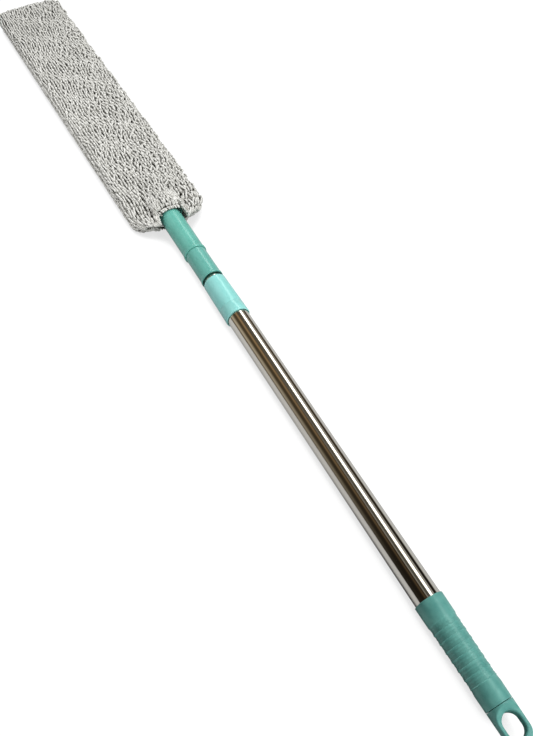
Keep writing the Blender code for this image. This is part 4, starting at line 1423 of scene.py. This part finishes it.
# soft cards that polished and glossy pieces mirror, by their angle from straight up towards +Y,
# with their brightness over the head's end of the pole and over the handle's end
mirrorCards = [
    {"from": -180, "to": -94, "soft": 3, "head": 0.55, "handle": 0.5, "tint": (1.0, 0.98, 0.95)},
    {"from": -64, "to": -54, "soft": 4, "head": 0.5, "handle": 0.5, "tint": (1.0, 0.96, 0.9)},
    {"from": -49, "to": -28, "soft": 4, "head": 3.3, "handle": 2.7, "tint": (1.0, 0.98, 0.93)},
    {"from": -24, "to": -14, "soft": 4, "head": 0.13, "handle": 0.14, "tint": (1.0, 0.95, 0.8)},
    {"from": -9, "to": -1, "soft": 3, "head": 0.08, "handle": 0.34, "tint": (1.0, 0.93, 0.8)},
    {"from": 6, "to": 22, "soft": 5, "head": 0.3, "handle": 0.06, "tint": (1.0, 0.66, 0.34)},
    {"from": 56, "to": 82, "soft": 11, "head": 0.46, "handle": 0.02, "tint": (1.0, 0.86, 0.64)},
    {"from": 90, "to": 180, "soft": 4, "head": 0.6, "handle": 0.45, "tint": (1.0, 0.98, 0.95)},
]
betweenCards = {"head": (0.075, 0.055, 0.03), "handle": (0.012, 0.009, 0.006)}
mirrorTurn = 12.4  # degrees that the cards swing by from the head's end to the handle's


def cardRamp(tree, angle, end):
    stops = []
    for card in mirrorCards:
        lit = tuple(card[end] * part for part in card["tint"])
        stops += [
            (card["from"] - card["soft"], betweenCards[end]), (card["from"] + card["soft"], lit),
            (card["to"] - card["soft"], lit), (card["to"] + card["soft"], betweenCards[end]),
        ]
    stops = sorted(stop for stop in stops if -170 <= stop[0] <= 170)
    ramp = addNode(tree, "ValToRGB", {"Fac": angle})
    elements = ramp.color_ramp.elements
    elements[0].color = (*stops[0][1], 1)
    elements[1].color = (*stops[-1][1], 1)
    for degrees, colour in stops:
        elements.new((degrees + 180) / 360).color = (*colour, 1)
    return ramp.outputs["Color"]


def seenDirectly(tree, rays):
    return addMath(tree, "MAXIMUM", rays["Is Camera Ray"], rays["Is Transmission Ray"])


def makeWorld():
    world = bpy.data.worlds.new("studioTent")
    bpy.context.scene.world = world
    world.use_nodes = True
    tree = world.node_tree
    tree.nodes.clear()
    place = addNode(tree, "TexCoord").outputs["Generated"]
    # lay the pole's line along the gradient's own axis, with straight up at the middle of the ramp
    upright = {"Vector": place, "Rotation": (0, math.radians(90), 0)}
    turned = addNode(tree, "Mapping", upright, vector_type="VECTOR").outputs["Vector"]
    radial = addNode(tree, "TexGradient", {"Vector": turned}, gradient_type="RADIAL").outputs["Fac"]
    # 1 for what the tube's head end mirrors and 0 for its handle end
    along = addNode(tree, "SeparateXYZ", {"Vector": place}).outputs["X"]
    toHead = addRange(tree, along, *studio["mirrorEnds"])
    swing = addMath(tree, "MULTIPLY_ADD", toHead, mirrorTurn / 360, radial)
    angle = addMath(tree, "SUBTRACT", swing, mirrorTurn / 360)
    cards = addNode(tree, "Mix", {
        "Factor": toHead, "A": cardRamp(tree, angle, "handle"), "B": cardRamp(tree, angle, "head"),
    }, data_type="RGBA").outputs["Result"]
    seen, tent, sky = (
        addNode(tree, "Background", {"Color": colour, "Strength": strength}).outputs["Background"]
        for colour, strength in ((white, 1), (cards, 1), (white, studio["skyForLight"]))
    )
    rays = addNode(tree, "LightPath").outputs
    indirect = mixShader(tree, rays["Is Glossy Ray"], sky, tent)
    final = mixShader(tree, seenDirectly(tree, rays), indirect, seen)
    addNode(tree, "OutputWorld", {"Surface": final})


def makeFloor():
    bpy.ops.object.select_all(action="DESELECT")
    bpy.ops.mesh.primitive_plane_add(size=studio["floorSize"], location=(0, 0, 0))
    floor = bpy.context.object
    floor.name = "floor"
    material, tree = newMaterial("paleFloor")
    tree.nodes.clear()
    plain, pale, dark = (
        addNode(tree, "BsdfDiffuse", {"Color": (grey, grey, grey, 1)}).outputs["BSDF"]
        for grey in (studio["floorGrey"], studio["floorSeenShare"], studio["floorDark"])
    )
    # contact shadow, where the object closes the floor in on both of its sides
    sidesOpen = [
        addNode(tree, "AmbientOcclusion", {
            "Distance": studio["contactReach"], "Normal": (0, lean, 0.77),
        }).outputs["AO"]
        for lean in (0.64, -0.64)
    ]
    shadow = addRange(tree, addMath(tree, "MAXIMUM", *sidesOpen), *studio["contactShadow"])
    strength = addMath(tree, "MULTIPLY", shadow, studio["floorGlow"])
    glow = addNode(tree, "Emission", {"Color": white, "Strength": strength}).outputs["Emission"]
    lit = addNode(tree, "AddShader", {0: pale, 1: glow}).outputs["Shader"]
    rays = addNode(tree, "LightPath").outputs
    inGloss = addMath(tree, "MULTIPLY", rays["Is Glossy Ray"], studio["floorInGloss"])
    share = addMath(tree, "MAXIMUM", seenDirectly(tree, rays), inGloss)
    mixed = mixShader(tree, share, plain, lit)
    # the tube's handle end mirrors its own shadow close beside it
    near = addRange(tree, sidesOpen[1], *studio["mirroredShadow"])
    place = addNode(tree, "TexCoord").outputs["Object"]
    along = addNode(tree, "SeparateXYZ", {"Vector": place}).outputs["X"]
    toHandle = addRange(tree, along, *studio["handleEnd"])
    amount = addMath(tree, "MULTIPLY", rays["Is Glossy Ray"], near)
    amount = addMath(tree, "MULTIPLY", amount, toHandle)
    addNode(tree, "OutputMaterial", {"Surface": mixShader(tree, amount, mixed, dark)})
    floor.data.materials.append(material)


def makeLight(name, place, size, power, target):
    bpy.ops.object.light_add(type="AREA", location=place)
    lamp = bpy.context.object
    lamp.name = name
    lamp.data.shape = "RECTANGLE"
    lamp.data.size, lamp.data.size_y = size
    lamp.data.energy = power
    toward = (Vector(target) - Vector(place)).normalized()
    # the long side stays along the pole
    side = Vector((1, 0, 0))
    back = -toward
    up = back.cross(side).normalized()
    side = up.cross(back).normalized()
    lamp.rotation_euler = Matrix((side, up, back)).transposed().to_euler()
    lamp.visible_glossy = False  # glossy pieces mirror the world's cards instead
    lamp.visible_camera = False


cameraPlace = {
    "place": (-0.44395, 0.1663, 0.4915),
    "right": (-0.4784, -0.8779, 0.0),
    "up": (0.7164, -0.3910, 0.5771),
    "lens": 36.2,
}


def makeCamera():
    bpy.ops.object.camera_add(location=cameraPlace["place"])
    camera = bpy.context.object
    camera.name = "photo_camera"
    right = Vector(cameraPlace["right"]).normalized()
    up = Vector(cameraPlace["up"])
    up = (up - right * up.dot(right)).normalized()
    back = right.cross(up)
    camera.rotation_euler = Matrix((right, up, back)).transposed().to_euler()
    camera.data.sensor_width = 36
    camera.data.lens = cameraPlace["lens"]
    camera.data.clip_start = 0.01
    bpy.context.scene.camera = camera


makeWorld()
makeFloor()
for lightName, light in lights.items():
    makeLight(lightName, **light)
makeCamera()
bpy.context.scene.view_settings.view_transform = "Standard"
print("studio made")
